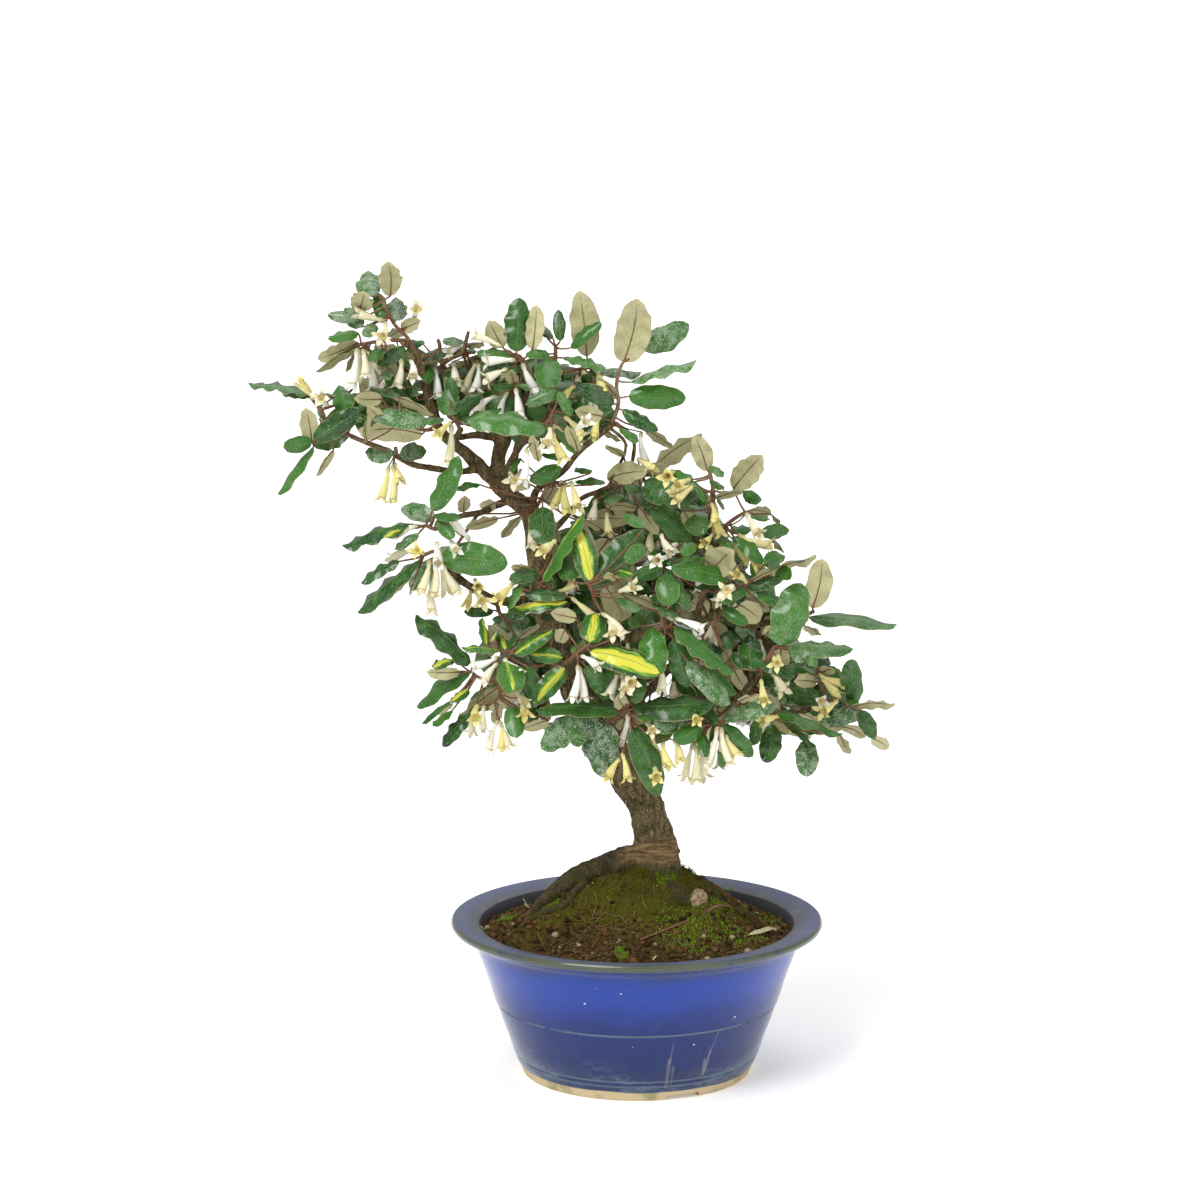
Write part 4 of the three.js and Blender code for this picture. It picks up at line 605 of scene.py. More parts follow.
            (78.5, 192, 96, 177.5, 4), (75, 196.5, 110.5, 184.5, 5), (108.5, 184, 113.5, 173.5, 5.5, under),
            (86, 196, 97, 190, 5, under), (82, 187, 93, 182, 4, under),
        ],
        "flowers": [(76, 194.5, 67.5, 192, yellow)],
    },
}

# Shoots on the far side: their leaves are drawn at random round the shoot's end, inside a circle as seen
# from the front
farShoots = {
    "far_shoot_centre": {
        "from": (-34.5, 251.8, 38), "centre": (-28, 252), "spread": 32, "depth": 52, "leaves": 6,
    },
    "far_shoot_middle": {
        "from": (21.5, 227, 30), "centre": (24, 232), "spread": 32, "depth": 44, "leaves": 6,
    },
    "far_shoot_upper": {
        "from": (12, 275, 25), "centre": (12, 286), "spread": 27, "depth": 38, "leaves": 5,
    },
    "far_shoot_right": {
        "from": (60, 210, 13), "centre": (62, 212), "spread": 24, "depth": 26, "leaves": 5,
    },
    "far_shoot_top": {
        "from": (-60.2, 351, 41), "centre": (-56, 364), "spread": 26, "depth": 52, "leaves": 5,
    },
    "far_shoot_left": {
        "from": (-106, 365, 33), "centre": (-106, 370), "spread": 18, "depth": 42, "leaves": 4,
    },
}

# Small leaves and flowers beside those of the shoots. Each joins the twig that it is seen nearest to.
smallLeaves = [
    (-138, 404, -143.5, 397, 7, scurfy), (-145.5, 393, -169, 378.5, 3, under), (-134, 391, -138, 383.5, 3.5),
    (-131, 379.5, -134.5, 374.5, 6, scurfy), (-122, 370, -127, 374, 5), (-117.5, 374, -118, 365.5, 5.5),
    (-85, 388.5, -94, 390, 4), (-58, 371.5, -62.5, 371, 4), (-44.5, 397, -53, 405.5, 3),
    (-47, 396, -50, 400, 4), (-19, 348, -8, 342, 3, under), (-160, 365, -167, 367, 4, under),
    (-176, 367, -180.5, 371.5, 4), (-124, 266, -127.5, 261.5, 2, under),
    (-118.5, 267, -120.5, 259.5, 1.5, under), (-62, 333, -68, 323.5, 3), (-45, 263, -46, 270.5, 5, gold),
    (-10, 268, -16, 272, 5, under), (-52, 247, -45, 249, 4), (-76, 235, -73, 241.5, 2, gold),
    (-99, 202.5, -115, 190, 2.5), (-99, 201, -107, 194.5, 3.5, under),
    (-28.5, 176.5, -24.5, 170.5, 3, under), (2, 195, 7, 191.5, 4), (2, 243, -4, 248, 7),
    (40, 321, 45, 316, 4), (43, 311, 44, 306.5, 3), (30, 320.5, 37, 309, 2.5), (2, 318, -6, 316, 6),
    (70, 303.5, 75.5, 296.5, 2, under), (58.5, 302, 70, 300, 2.5), (71, 290, 76.5, 283, 2.5, under),
    (84, 230, 87, 223, 6, scurfy), (54, 202, 66, 206, 4, under), (110, 203, 117, 201, 3),
    (99, 186, 90, 187, 4),
]
smallFlowers = [
    (-61, 326.5, -65.5, 321, cream), (-20, 355, -22.5, 345, yellow), (28, 321.5, 21.5, 318.5, yellow),
    (40, 292, 36, 287.5, yellow), (57, 284.5, 63.5, 275.5, yellow), (50, 265, 47, 262, cream),
    (21, 287, 18, 284, white), (-10, 261.5, -2, 264, cream), (-88, 262, -90, 255, yellow),
    (-100, 291, -96, 284, white), (-113, 282, -117, 283.5, yellow), (-85, 200, -86, 193.5, yellow),
    (-64, 208, -60, 202, cream), (-8, 217, -6.5, 209, cream), (-15, 246, -13, 239, cream),
    (96, 203, 98.5, 202, white), (31, 197.5, 32, 192, yellow),
]


def seenAt(x, z, depth):
    share = (depth - view["place"].y) / -view["place"].y
    return potAxis + (view["place"] + (Vector((x, 0, z)) - view["place"]) * share) * mm


# Where the line of sight through a point meets the upright plane
def seenPlace(point):
    sight = point - eye
    return eye + sight * (eye.y / -sight.y)


def addObject(name, data):
    holder = bpy.data.objects.new(name, data)
    scene.collection.objects.link(holder)
    return holder


def addPiece(name, mesh, materials, replaced=()):
    piece = addObject(name, mesh)
    for material in materials:
        mesh.materials.append(material)
    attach(piece, "root")
    if replaced:
        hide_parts(*replaced)


def meshFrom(bm, name, sharpDeg=None):
    mesh = bpy.data.meshes.new(name)
    bm.to_mesh(mesh)
    bm.free()
    mesh.shade_smooth()
    if sharpDeg:
        mesh.set_sharp_from_angle(angle=math.radians(sharpDeg))
    return mesh


def evaluated(holder):
    graph = bpy.context.evaluated_depsgraph_get()
    return bpy.data.meshes.new_from_object(holder.evaluated_get(graph))


# A smooth curve through points, evenly divided between each two
def smoothed(points, perSpan):
    ends = [points[0] * 2 - points[1], *points, points[-1] * 2 - points[-2]]
    curve = []
    for p0, p1, p2, p3 in zip(ends, ends[1:], ends[2:], ends[3:]):
        t1 = (p1 - p0).length ** 0.5
        t2 = t1 + (p2 - p1).length ** 0.5
        t3 = t2 + (p3 - p2).length ** 0.5
        for i in range(perSpan):
            t = t1 + (t2 - t1) * i / perSpan
            a = p0.lerp(p1, t / t1)
            b = p1.lerp(p2, (t - t1) / (t2 - t1))
            c = p2.lerp(p3, (t - t2) / (t3 - t2))
            ab = a.lerp(b, t / t2)
            bc = b.lerp(c, (t - t1) / (t3 - t1))
            curve.append(ab.lerp(bc, (t - t1) / (t2 - t1)))
    return [*curve, points[-1].copy()]


def limbThrough(rows, perSpan):
    places = smoothed([seenAt(x, z, depth) for x, z, depth, _ in rows], perSpan)
    radii = []
    for i in range(len(places)):
        span = min(i // perSpan, len(rows) - 2)
        share = i / perSpan - span
        radii.append(rows[span][3] * (1 - share) + rows[span + 1][3] * share)
    return places, radii


def tubeMesh(name, limbs, roundness):
    curve = bpy.data.curves.new(name, "CURVE")
    curve.dimensions = "3D"
    curve.bevel_depth = mm
    curve.bevel_resolution = roundness
    curve.use_fill_caps = True
    for places, radii in limbs:
        spline = curve.splines.new("POLY")
        spline.points.add(len(places) - 1)
        for point, place, radius in zip(spline.points, places, radii):
            point.co = (*place, 1)
            point.radius = radius
    holder = addObject(name, curve)
    mesh = evaluated(holder)
    bpy.data.objects.remove(holder)
    bpy.data.curves.remove(curve)
    return mesh


def nearestOn(paths, point):
    best = None
    for path in paths:
        for a, b in zip(path, path[1:]):
            along = b - a
            t = min(max((point - a).dot(along) / max(along.length_squared, 1e-12), 0), 1)
            place = a + along * t
            if best is None or (place - point).length < (best - point).length:
                best = place
    return best


# A repeatable random source, as the far shoots of the frame are drawn with
def seeded(state):
    def draw():
        nonlocal state
        state = (state + 0x6D2B79F5) & 0xFFFFFFFF
        t = ((state ^ (state >> 15)) * (state | 1)) & 0xFFFFFFFF
        t ^= (t + ((t ^ (t >> 7)) * (t | 61))) & 0xFFFFFFFF
        return (t ^ (t >> 14)) / 4294967296

    return draw


# An output of a shader node. Sums, differences, products and quotients of outputs are nodes in their turn.
class Value:
    def __init__(self, socket):
        self.socket = socket

    def __add__(self, other):
        return mathOf("ADD", self, other)

    def __radd__(self, other):
        return mathOf("ADD", other, self)

    def __sub__(self, other):
        return mathOf("SUBTRACT", self, other)

    def __rsub__(self, other):
        return mathOf("SUBTRACT", other, self)

    def __mul__(self, other):
        return mathOf("MULTIPLY", self, other)

    def __truediv__(self, other):
        return mathOf("DIVIDE", self, other)

    def clamped(self):
        self.socket.node.use_clamp = True
        return self


class Outputs:
    def __init__(self, node):
        self.node = node

    def __getitem__(self, key):
        return Value(self.node.outputs[key])


# Sets an input to an output or to a constant
def fill(socket, value):
    if isinstance(value, Value):
        socket.id_data.links.new(value.socket, socket)
    elif socket.type == "RGBA":
        socket.default_value = (*value, 1)[:4]
    else:
        socket.default_value = value


# A node in the tree of the outputs that it is fed with, or in the tree that is named
def addNode(kind, inputs=(), tree=None, **settings):
    if not tree:
        tree = next(value.socket.id_data for value in inputs.values() if isinstance(value, Value))
    node = tree.nodes.new("ShaderNode" + kind)
    for key, value in settings.items():
        setattr(node, key, value)
    for key, value in dict(inputs).items():
        fill(node.inputs[key], value)
    return Outputs(node)


def mathOf(operation, a, b=0.0):
    return addNode("Math", {0: a, 1: b}, operation=operation)[0]


def blended(share, a, b):
    return addNode("Mix", {0: share, 6: a, 7: b}, data_type="RGBA")[2]


# 0 to 1 as the value runs from low to high
def stepped(value, low, high, soft=True):
    kind = "SMOOTHSTEP" if soft else "LINEAR"
    return addNode("MapRange", {0: value, 1: low, 2: high, 3: 0.0, 4: 1.0}, interpolation_type=kind)[0]


def noiseAt(place, scale, detail=3.0, roughness=0.6):
    return addNode("TexNoise", {"Vector": place, "Scale": scale, "Detail": detail, "Roughness": roughness})[0]


def bumped(height, strength, distance):
    return addNode("Bump", {"Height": height, "Strength": strength, "Distance": distance * mm})[0]


def attributeOf(tree, name):
    return addNode("Attribute", tree=tree, attribute_name=name, attribute_type="GEOMETRY")["Fac"]


def placeOn(tree):
    return addNode("UVMap", tree=tree, uv_map="place")[0]


def objectPlace(tree):
    return addNode("TexCoord", tree=tree)["Object"]


def newGroup(name, inputs, outputs):
    tree = bpy.data.node_groups.new(name, "ShaderNodeTree")
    for key, (kind, value) in inputs.items():
        socket = tree.interface.new_socket(key, in_out="INPUT", socket_type="NodeSocket" + kind)
        if value is not None:
            socket.default_value = value
    for key, kind in outputs.items():
        tree.interface.new_socket(key, in_out="OUTPUT", socket_type="NodeSocket" + kind)
    return tree, Outputs(tree.nodes.new("NodeGroupInput")), tree.nodes.new("NodeGroupOutput").inputs


def useGroup(group, inputs):
    return addNode("Group", inputs, node_tree=group)


def newMaterial(name):
    material = bpy.data.materials.new(name)
    material.use_nodes = True
    return material, material.node_tree, material.node_tree.nodes["Principled BSDF"]


# Feeds the surface's inputs, which are named in camel case here
def feed(surface, **values):
    for key, value in values.items():
        name = "".join(" " + c if c.isupper() and i else c for i, c in enumerate(key))
        fill(surface.inputs[name.replace("I O R", "IOR")], value)


# Round specks: a mask of how much of the surface they cover
speckles, start, end = newGroup(
    "speckles",
    {"Place": ("Vector", None), "Scale": ("Float", 900.0), "Size": ("Float", 0.3), "Share": ("Float", 0.5)},
    {"Mask": "Float"},
)
cells = addNode("TexVoronoi", {"Vector": start["Place"], "Scale": start["Scale"], "Randomness": 1.0})
picked = addNode("SeparateColor", {0: cells["Color"]})
shown = mathOf("LESS_THAN", picked[0], start["Share"])
ownSize = start["Size"] * (picked[1] + 0.5)
edge = ownSize - cells["Distance"]
dot = (edge * 12.0).clamped()
fill(end["Mask"], dot * shown)

# Leaf veins: a midrib and slanting side veins, from the place across and along the blade
leafVeins, start, end = newGroup(
    "leafVeins",
    {"Place": ("Vector", None)},
    {"Midrib": "Float", "Veins": "Float", "Margin": "Float", "Across": "Float", "Along": "Float"},
)
parts = addNode("SeparateXYZ", {0: start["Place"]})
offset = (parts[0] - 0.5) * 2.0
side = mathOf("ABSOLUTE", offset)
taper = 0.075 - parts[1] * 0.045
midrib = (1.0 - side / taper).clamped()
wobble = addNode("TexNoise", {"Vector": start["Place"], "Scale": 5.0, "Detail": 2.0})
bent = side * -0.28 + parts[1]
bent = bent + wobble[0] * 0.09
wave = mathOf("SINE", bent * 52.0)
veins = stepped(wave, 0.82, 1.0)
veins = veins * stepped(side, 1.0, 0.35)
fill(end["Midrib"], midrib)
fill(end["Veins"], veins)
fill(end["Margin"], stepped(side, 0.9, 0.98))
fill(end["Across"], offset)
fill(end["Along"], parts[1])

# Bark of old wood: fine upright streaks over olive brown, paler where it has worn, with grey lichen flecks
barkCover, start, end = newGroup(
    "barkCover",
    {"Place": ("Vector", None)},
    {"Color": "Color", "Height": "Float"},
)
drawn = addNode("Mapping", {0: start["Place"], 3: (1.0, 1.0, 0.3)})[0]
streaks = noiseAt(drawn, 380.0, 7.0, 0.74)
grain = noiseAt(start["Place"], 900.0, 4.0, 0.7)
worn = noiseAt(start["Place"], 62.0, 4.0)
tone = blended(stepped(streaks, 0.4, 0.6), (0.038, 0.028, 0.01), (0.25, 0.195, 0.09))
tone = blended(stepped(worn, 0.42, 0.68) * 0.55, tone, (0.3, 0.24, 0.12))
tone = blended(stepped(grain, 0.54, 0.42) * 0.75, tone, (0.032, 0.024, 0.01))
flecks = useGroup(speckles, {"Place": drawn, "Scale": 430.0, "Size": 0.26, "Share": 0.2})[0]
tone = blended(flecks * 0.6, tone, (0.4, 0.37, 0.24))
fill(end["Color"], tone)
height = streaks + grain * 0.35
fill(end["Height"], height)

bark, tree, surface = newMaterial("bark")
place = objectPlace(tree)
cover = useGroup(barkCover, {"Place": place})
axes = addNode("SeparateXYZ", {0: place})
height = axes[2]
patchy = noiseAt(place, 120.0)
rust = stepped(height, 0.2, 0.34) * (patchy * 0.55)
tone = blended(rust, cover["Color"], (0.115, 0.06, 0.03))
ringAt = height + noiseAt(place, 90.0) * 0.009
isTrunk = stepped(axes[0], 0.019, 0.031)
pale = stepped(ringAt, 0.115, 0.121) * stepped(ringAt, 0.135, 0.128)
pale = pale * isTrunk
rings = noiseAt(addNode("Mapping", {0: place, 3: (0.22, 0.22, 1.6)})[0], 420.0, 5.0, 0.7)
ringTone = blended(stepped(rings, 0.4, 0.62), (0.115, 0.068, 0.03), (0.4, 0.265, 0.13))
tone = blended(pale * 0.85, tone, ringTone)
rootOnly = (1.0 - isTrunk) * stepped(height, 0.135, 0.126)
wet = mathOf("MAXIMUM", stepped(ringAt, 0.122, 0.108), rootOnly)
tone = blended(wet * 0.72, tone, (0.035, 0.027, 0.013))
green = stepped(ringAt, 0.124, 0.104) * stepped(patchy, 0.42, 0.56)
tone = blended(green * 0.8, tone, (0.055, 0.058, 0.008))
feed(surface, BaseColor=tone, Roughness=0.85, SpecularIORLevel=0.2, Normal=bumped(cover["Height"], 1.0, 1.3))

# Young twigs and leaf stalks: rust-brown scales, greyer with age
twigBark, tree, surface = newMaterial("twigBark")
place = objectPlace(tree)
scales = noiseAt(place, 1400.0, 3.0, 0.7)
tone = blended(stepped(scales, 0.38, 0.62), (0.075, 0.028, 0.012), (0.25, 0.115, 0.052))
tone = blended(stepped(noiseAt(place, 90.0), 0.5, 0.66) * 0.6, tone, (0.26, 0.2, 0.12))
feed(surface, BaseColor=tone, Roughness=0.7, Normal=bumped(scales, 0.5, 0.25))

# The upper side of a leaf: deep glossy green under a scatter of silver scales
leafUpper, tree, surface = newMaterial("leafUpper")
place = objectPlace(tree)
onBlade = placeOn(tree)
lines = useGroup(leafVeins, {"Place": onBlade})
ownTone = attributeOf(tree, "tone")
scurf = attributeOf(tree, "scurf")
golden = attributeOf(tree, "golden")
patchNoise = noiseAt(place, 150.0, 3.0)
tone = blended(stepped(ownTone, 0.0, 1.0, False), (0.004, 0.042, 0.001), (0.042, 0.17, 0.012))
# Painted sheen: lighter green patches in the colour stand in for the gloss on the upper side
tone = blended(stepped(patchNoise, 0.4, 0.72) * 0.7, tone, (0.045, 0.165, 0.018))
tone = blended(lines["Veins"] * 0.2, tone, (0.09, 0.2, 0.06))
streak = noiseAt(addNode("Mapping", {0: onBlade, 3: (9.0, 1.6, 1.0)})[0], 1.0, 4.0, 0.75)
goldEdge = mathOf("ABSOLUTE", lines["Across"]) + streak * 1.6
goldEdge = goldEdge + (ownTone - 0.4) * 0.5
lime = stepped(goldEdge, 1.32, 1.2) * golden
tone = blended(lime, tone, (0.14, 0.34, 0.025))
middle = stepped(goldEdge, 1.16, 1.08) * golden
tone = blended(middle, tone, (0.66, 0.63, 0.045))
fineDust = useGroup(speckles, {"Place": place, "Scale": 1900.0, "Size": 0.34, "Share": 0.5})[0]
coarseDust = useGroup(speckles, {"Place": place, "Scale": 900.0, "Size": 0.17, "Share": 0.34})[0]
film = scurf * stepped(noiseAt(place, 210.0), 0.4, 0.64)
tone = blended(film * 0.42, tone, (0.4, 0.47, 0.36))
fineShare = fineDust * (scurf * 0.65 + 0.1)
tone = blended(fineShare, tone, (0.68, 0.74, 0.62))
coarseShare = coarseDust * (scurf * 0.4 + 0.45)
tone = blended(coarseShare, tone, (0.9, 0.93, 0.85))
tone = blended(lines["Midrib"] * 0.7, tone, (0.17, 0.26, 0.085))
tone = blended(lines["Margin"] * 0.6, tone, (0.3, 0.26, 0.12))
relief = lines["Veins"] + lines["Midrib"] * 2.0
relief = patchNoise * 2.2 - relief
rough = 0.3 + scurf * 0.18
feed(
    surface, BaseColor=tone, Roughness=rough, SpecularIORLevel=0.22, CoatWeight=0.45, CoatRoughness=0.16,
    Normal=bumped(relief, 0.4, 0.5),
)

# The under side: silver-khaki scales, brown dots and a red-brown midrib
leafUnder, tree, surface = newMaterial("leafUnder")
place = objectPlace(tree)
lines = useGroup(leafVeins, {"Place": placeOn(tree)})
ownTone = attributeOf(tree, "tone")
patchNoise = noiseAt(place, 170.0, 4.0)
tone = blended(ownTone, (0.34, 0.325, 0.145), (0.5, 0.47, 0.25))
tone = blended(stepped(patchNoise, 0.4, 0.7) * 0.7, tone, (0.52, 0.5, 0.3))
grain = noiseAt(place, 2200.0, 2.0)
tone = blended(stepped(grain, 0.5, 0.7) * 0.5, tone, (0.62, 0.6, 0.4))
dots = useGroup(speckles, {"Place": place, "Scale": 900.0, "Size": 0.24, "Share": 0.4})[0]
tone = blended(dots * 0.6, tone, (0.19, 0.12, 0.05))
tone = blended(lines["Veins"] * 0.22, tone, (0.25, 0.19, 0.09))
tone = blended(lines["Midrib"] * 0.8, tone, (0.24, 0.11, 0.04))
tone = blended(lines["Margin"] * 0.5, tone, (0.3, 0.2, 0.09))
relief = lines["Veins"] + grain * 0.6
feed(surface, BaseColor=tone, Roughness=0.6, SpecularIORLevel=0.3, Normal=bumped(relief, 0.3, 0.4))

# Petals run from white over cream to yellow with age, khaki at the foot and deeper in the throat
petal, tree, surface = newMaterial("petal")
place = objectPlace(tree)
along = addNode("SeparateXYZ", {0: placeOn(tree)})[1]
age = attributeOf(tree, "tone")
tone = blended(stepped(age, 0.1, 0.5, False), (0.84, 0.83, 0.77), (0.8, 0.75, 0.54))
tone = blended(stepped(age, 0.55, 1.0, False), tone, (0.76, 0.68, 0.24))
tone = blended(stepped(noiseAt(place, 260.0), 0.45, 0.7) * 0.3, tone, (0.62, 0.57, 0.32))
tone = blended(stepped(along, 0.3, 0.02), tone, (0.42, 0.38, 0.18))
tone = blended(stepped(along, 1.4, 2.0) * 0.7, tone, (0.64, 0.52, 0.16))
specks = useGroup(speckles, {"Place": place, "Scale": 1000.0, "Size": 0.2, "Share": 0.25})[0]
tone = blended(specks * 0.4, tone, (0.38, 0.23, 0.08))
feed(surface, BaseColor=tone, Roughness=0.6, Normal=bumped(noiseAt(place, 700.0), 0.25, 0.3))
print("materials of the plant made")


# A blade of two sheets joined round its margin. x runs -1 to 1 across, y 0 to 1 along, z is the sheet.
def bladeTemplate(name, across, along, first=0.0):
    bm = bmesh.new()
    place = bm.loops.layers.uv.new("place")
    bmesh.ops.create_grid(bm, x_segments=across, y_segments=along, size=1)
    copy = bmesh.ops.duplicate(bm, geom=bm.verts[:] + bm.edges[:] + bm.faces[:])["geom"]
    lower = [face for face in copy if isinstance(face, bmesh.types.BMFace)]
    bmesh.ops.reverse_faces(bm, faces=lower)
    for face in lower:
        face.material_index = 1
    for vertex in bm.verts:
        inside = abs(vertex.co.x) < 0.999 and abs(vertex.co.y) < 0.999
        vertex.co.z = 1 if inside else 0
    for vertex in copy:
        if isinstance(vertex, bmesh.types.BMVert):
            vertex.co.z *= -1
    bmesh.ops.remove_doubles(bm, verts=bm.verts[:], dist=1e-4)
    for face in bm.faces:
        for loop in face.loops:
            loop[place].uv = (loop.vert.co.x / 2 + 0.5, first + (1 - first) * (loop.vert.co.y / 2 + 0.5))
    for edge in bm.edges:
        edge.smooth = len({face.material_index for face in edge.link_faces}) == 1
    for vertex in bm.verts:
        vertex.co.y = vertex.co.y / 2 + 0.5
    return meshFrom(bm, name)


# The tube of a flower, 1 long, with its rings' places along as v
def tubeTemplate(name, profile, steps):
    bm = bmesh.new()
    place = bm.loops.layers.uv.new("place")
    points = [bm.verts.new((radius, 0, height)) for radius, height in profile]
    edges = [bm.edges.new(pair) for pair in zip(points, points[1:])]
    bmesh.ops.spin(
        bm, geom=points + edges, cent=(0, 0, 0), axis=(0, 0, 1), angle=2 * math.pi, steps=steps,
        use_merge=True,
    )
    bmesh.ops.remove_doubles(bm, verts=bm.verts[:], dist=1e-4)
    bmesh.ops.recalc_face_normals(bm, faces=bm.faces[:])
    for face in bm.faces:
        inner = face.normal.z > 0.15 and face.calc_center_median().z > 0.6
        for loop in face.loops:
            loop[place].uv = (0.5, 2.0 if inner else loop.vert.co.z)
    return meshFrom(bm, name)


flower = {
    "profile": [
        (0.5, 0), (1.25, 0.06), (1.3, 0.17), (0.95, 0.27), (1.55, 0.45), (2.15, 0.72), (2.5, 0.95),
        (2.35, 0.985), (1.3, 0.84), (0.05, 0.7),
    ],
    "sides": 8,
    "mouth": 2.25,
    "lobe": 4.0,
    "lobeHalf": 1.85,
    "opening": (0.35, 1.3),
}
leafTemplate = bladeTemplate("leafTemplate", 4, 16)
smallLeafTemplate = bladeTemplate("smallLeafTemplate", 4, 7)
lobeTemplate = bladeTemplate("lobeTemplate", 2, 3, 0.6)
tubeTemplateMesh = tubeTemplate("flowerTube", flower["profile"], flower["sides"])


def addCopy(bm, mesh, materials, place, **layers):
    before = (len(bm.verts), len(bm.faces))
    bm.from_mesh(mesh)
    bm.verts.ensure_lookup_table()
    bm.faces.ensure_lookup_table()
    values = [(bm.verts.layers.float[key], value) for key, value in layers.items()]
    for vertex in bm.verts[before[0]:]:
        if place:
            vertex.co = place(vertex.co)
        for layer, value in values:
            vertex[layer] = value
    for face in bm.faces[before[1]:]:
        face.material_index = materials[min(face.material_index, len(materials) - 1)]


def seenFrame(base, tip, share, side):
    axis = (tip - base).normalized()
    toEye = eye - base
    toEye = (toEye - axis * toEye.dot(axis)).normalized()
    across = axis.cross(toEye)
    roll = math.acos(min(share, 1))
    choices = [toEye * side * math.cos(roll) + across * sign * math.sin(roll) for sign in (1, -1)]
    upper = choices[0] if choices[0].z > choices[1].z else choices[1]
    return axis, upper, upper.cross(axis)


shifts = [0, -5, 5, -10, 10, -15, 15, -20, 20]
leaf = {
    "thick": 0.22 * mm,
    "bow": 0.2,
    "stalk": 0.55,
    "twigFoot": 1.5,
    "twig": 1.3,
    "taper": 0.08,
}


def leafEnds(row, depth, shift):
    baseX, baseZ, tipX, tipZ, width, side, finish = row
    seen = math.hypot(tipX - baseX, tipZ - baseZ)
    length = max(seen, 1.9 * width, 18)
    away = side * (1 if tipZ >= baseZ else -1) * math.sqrt(length**2 - seen**2)
    base = seenAt(baseX, baseZ, depth - 2 * side + 0.2 * shift)
    return base, seenAt(tipX, tipZ, depth - 2 * side + away + shift), max(width, 0.4 * length)


def flowerEnds(row, depth, shift):
    baseX, baseZ, mouthX, mouthZ, tone = row
    seen = math.hypot(mouthX - baseX, mouthZ - baseZ)
    toward = math.sqrt(max(144 - seen**2, 0))
    base = seenAt(baseX, baseZ, depth + 0.3 * shift)
    return base, seenAt(mouthX, mouthZ, depth - toward + shift)


# A blade from base to tip, seen from above along upper: waved and rolled at its edges, folded along its
# midrib
def leafPlace(base, tip, width, upper, left, random):
    axis = (tip - base).normalized()
    length = (tip - base).length
    phase = random() * 6.28
    waves = 2.2 + random() * 1.8
    wavy = (0.05 + 0.07 * random()) * width
    notched = 0.03 + 0.07 * random()
    swing = (random() - 0.5) * 0.1 * length
    twist = (random() - 0.5) * 0.7
    fold = (0.03 + 0.11 * random()) * width
    rolled = (0.03 + 0.09 * random()) * width
    hook = (0.02 + 0.1 * random()) * length
    lean = (random() - 0.5) * 0.12
    round0 = 0.42 + 0.16 * random()

    def place(point):
        u = point.x
        t = 0.6 * point.y + 0.4 * (0.5 - 0.5 * math.cos(math.pi * point.y))
        outline = max((4 * t * (1 - t)) ** round0 * (1 - 0.12 * t**3), 0.03)
        edgeWave = math.sin(phase + waves * 6.28 * t + (1.9 if u > 0 else 0))
        calm = min(1, 5 * t, 5 * (1 - t))
        across = width / 2 * outline * u * (1 + lean * (1 if u > 0 else -1) + notched * edgeWave * calm)
        height = wavy * edgeWave * calm * abs(u) ** 1.6
        height -= fold * abs(u) * outline + rolled * u**4 * outline
        height += point.z * leaf["thick"] * (1 - 0.5 * abs(u))
        turn = twist * (t - 0.4) * min(1, 4 * (1 - t))
        bow = leaf["bow"] * length * t * (1 - t) - hook * max(t - 0.6, 0) ** 1.5 * (1 - t) * 20
        side = across * math.cos(turn) - height * math.sin(turn) + swing * math.sin(math.pi * t)
        rise = across * math.sin(turn) + height * math.cos(turn) + bow
        return base + axis * (t * length) + left * side + upper * rise

    return place


def cadTips(name):
    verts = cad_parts[name].data.vertices
    tree = KDTree(len(verts))
    for i, vertex in enumerate(verts):
        tree.insert(vertex.co, i)
    tree.balance()
    return tree


def shiftOf(tree, endOf):
    for shift in shifts:
        if tree.find(endOf(shift))[2] < 0.02 * mm:
            return shift
    return None


def newPlantMesh():
    bm = bmesh.new()
    bm.loops.layers.uv.new("place")
    for key in ("tone", "scurf", "golden"):
        bm.verts.layers.float.new(key)
    return bm


def growLeaf(bm, limbs, row, depth, paths, tips, random):
    shift = shiftOf(tips, lambda shift: leafEnds(row, depth, shift)[1])
    count["leaves"] += 1
    count["unmatched"] += shift is None
    base, tip, width = leafEnds(row, depth, shift or 0)
    _, upper, left = seenFrame(base, tip, row[4] / width, row[5])
    template = leafTemplate if (tip - base).length > 20 * mm else smallLeafTemplate
    addLeaf(bm, limbs, base, tip, width * mm, upper, left, row[6], nearestOn(paths, base), template, random)


def addLeaf(bm, limbs, base, tip, width, upper, left, finish, foot, template, random):
    place = leafPlace(base, tip, width, upper, left, random)
    dusty = 0.75 + 0.25 * random() if finish == scurfy else 0.35 * random() ** 2
    addCopy(bm, template, [0, 1], place, tone=random(), scurf=dusty, golden=1.0 * (finish == gold))
    rib = [place(Vector((0, t, -1.6))) for t in (0.03, 0.15, 0.3, 0.5, 0.7, 0.86)]
    sag = Vector((0, 0, -0.06 * (foot - base).length))
    stalk = [foot, foot.lerp(base, 0.35) + sag, foot.lerp(base, 0.75) + sag * 0.6, *rib]
    size = leaf["stalk"]
    limbs.append((stalk, [size * share for share in (1.25, 1, 1, 0.85, 0.7, 0.52, 0.38, 0.24, 0.1)]))


# The shift is found at a point of the frame just inside the flower's mouth
def growFlower(bm, limbs, row, depth, footAt, tips, random):
    def throatOf(shift):
        base, mouth = flowerEnds(row, depth, shift)
        return mouth - (mouth - base).normalized() * mm

    base, mouth = flowerEnds(row, depth, shiftOf(tips, throatOf) or 0)
    count["flowers"] += 1
    addFlower(bm, limbs, base, mouth, row[4] / 2, footAt(base), random)


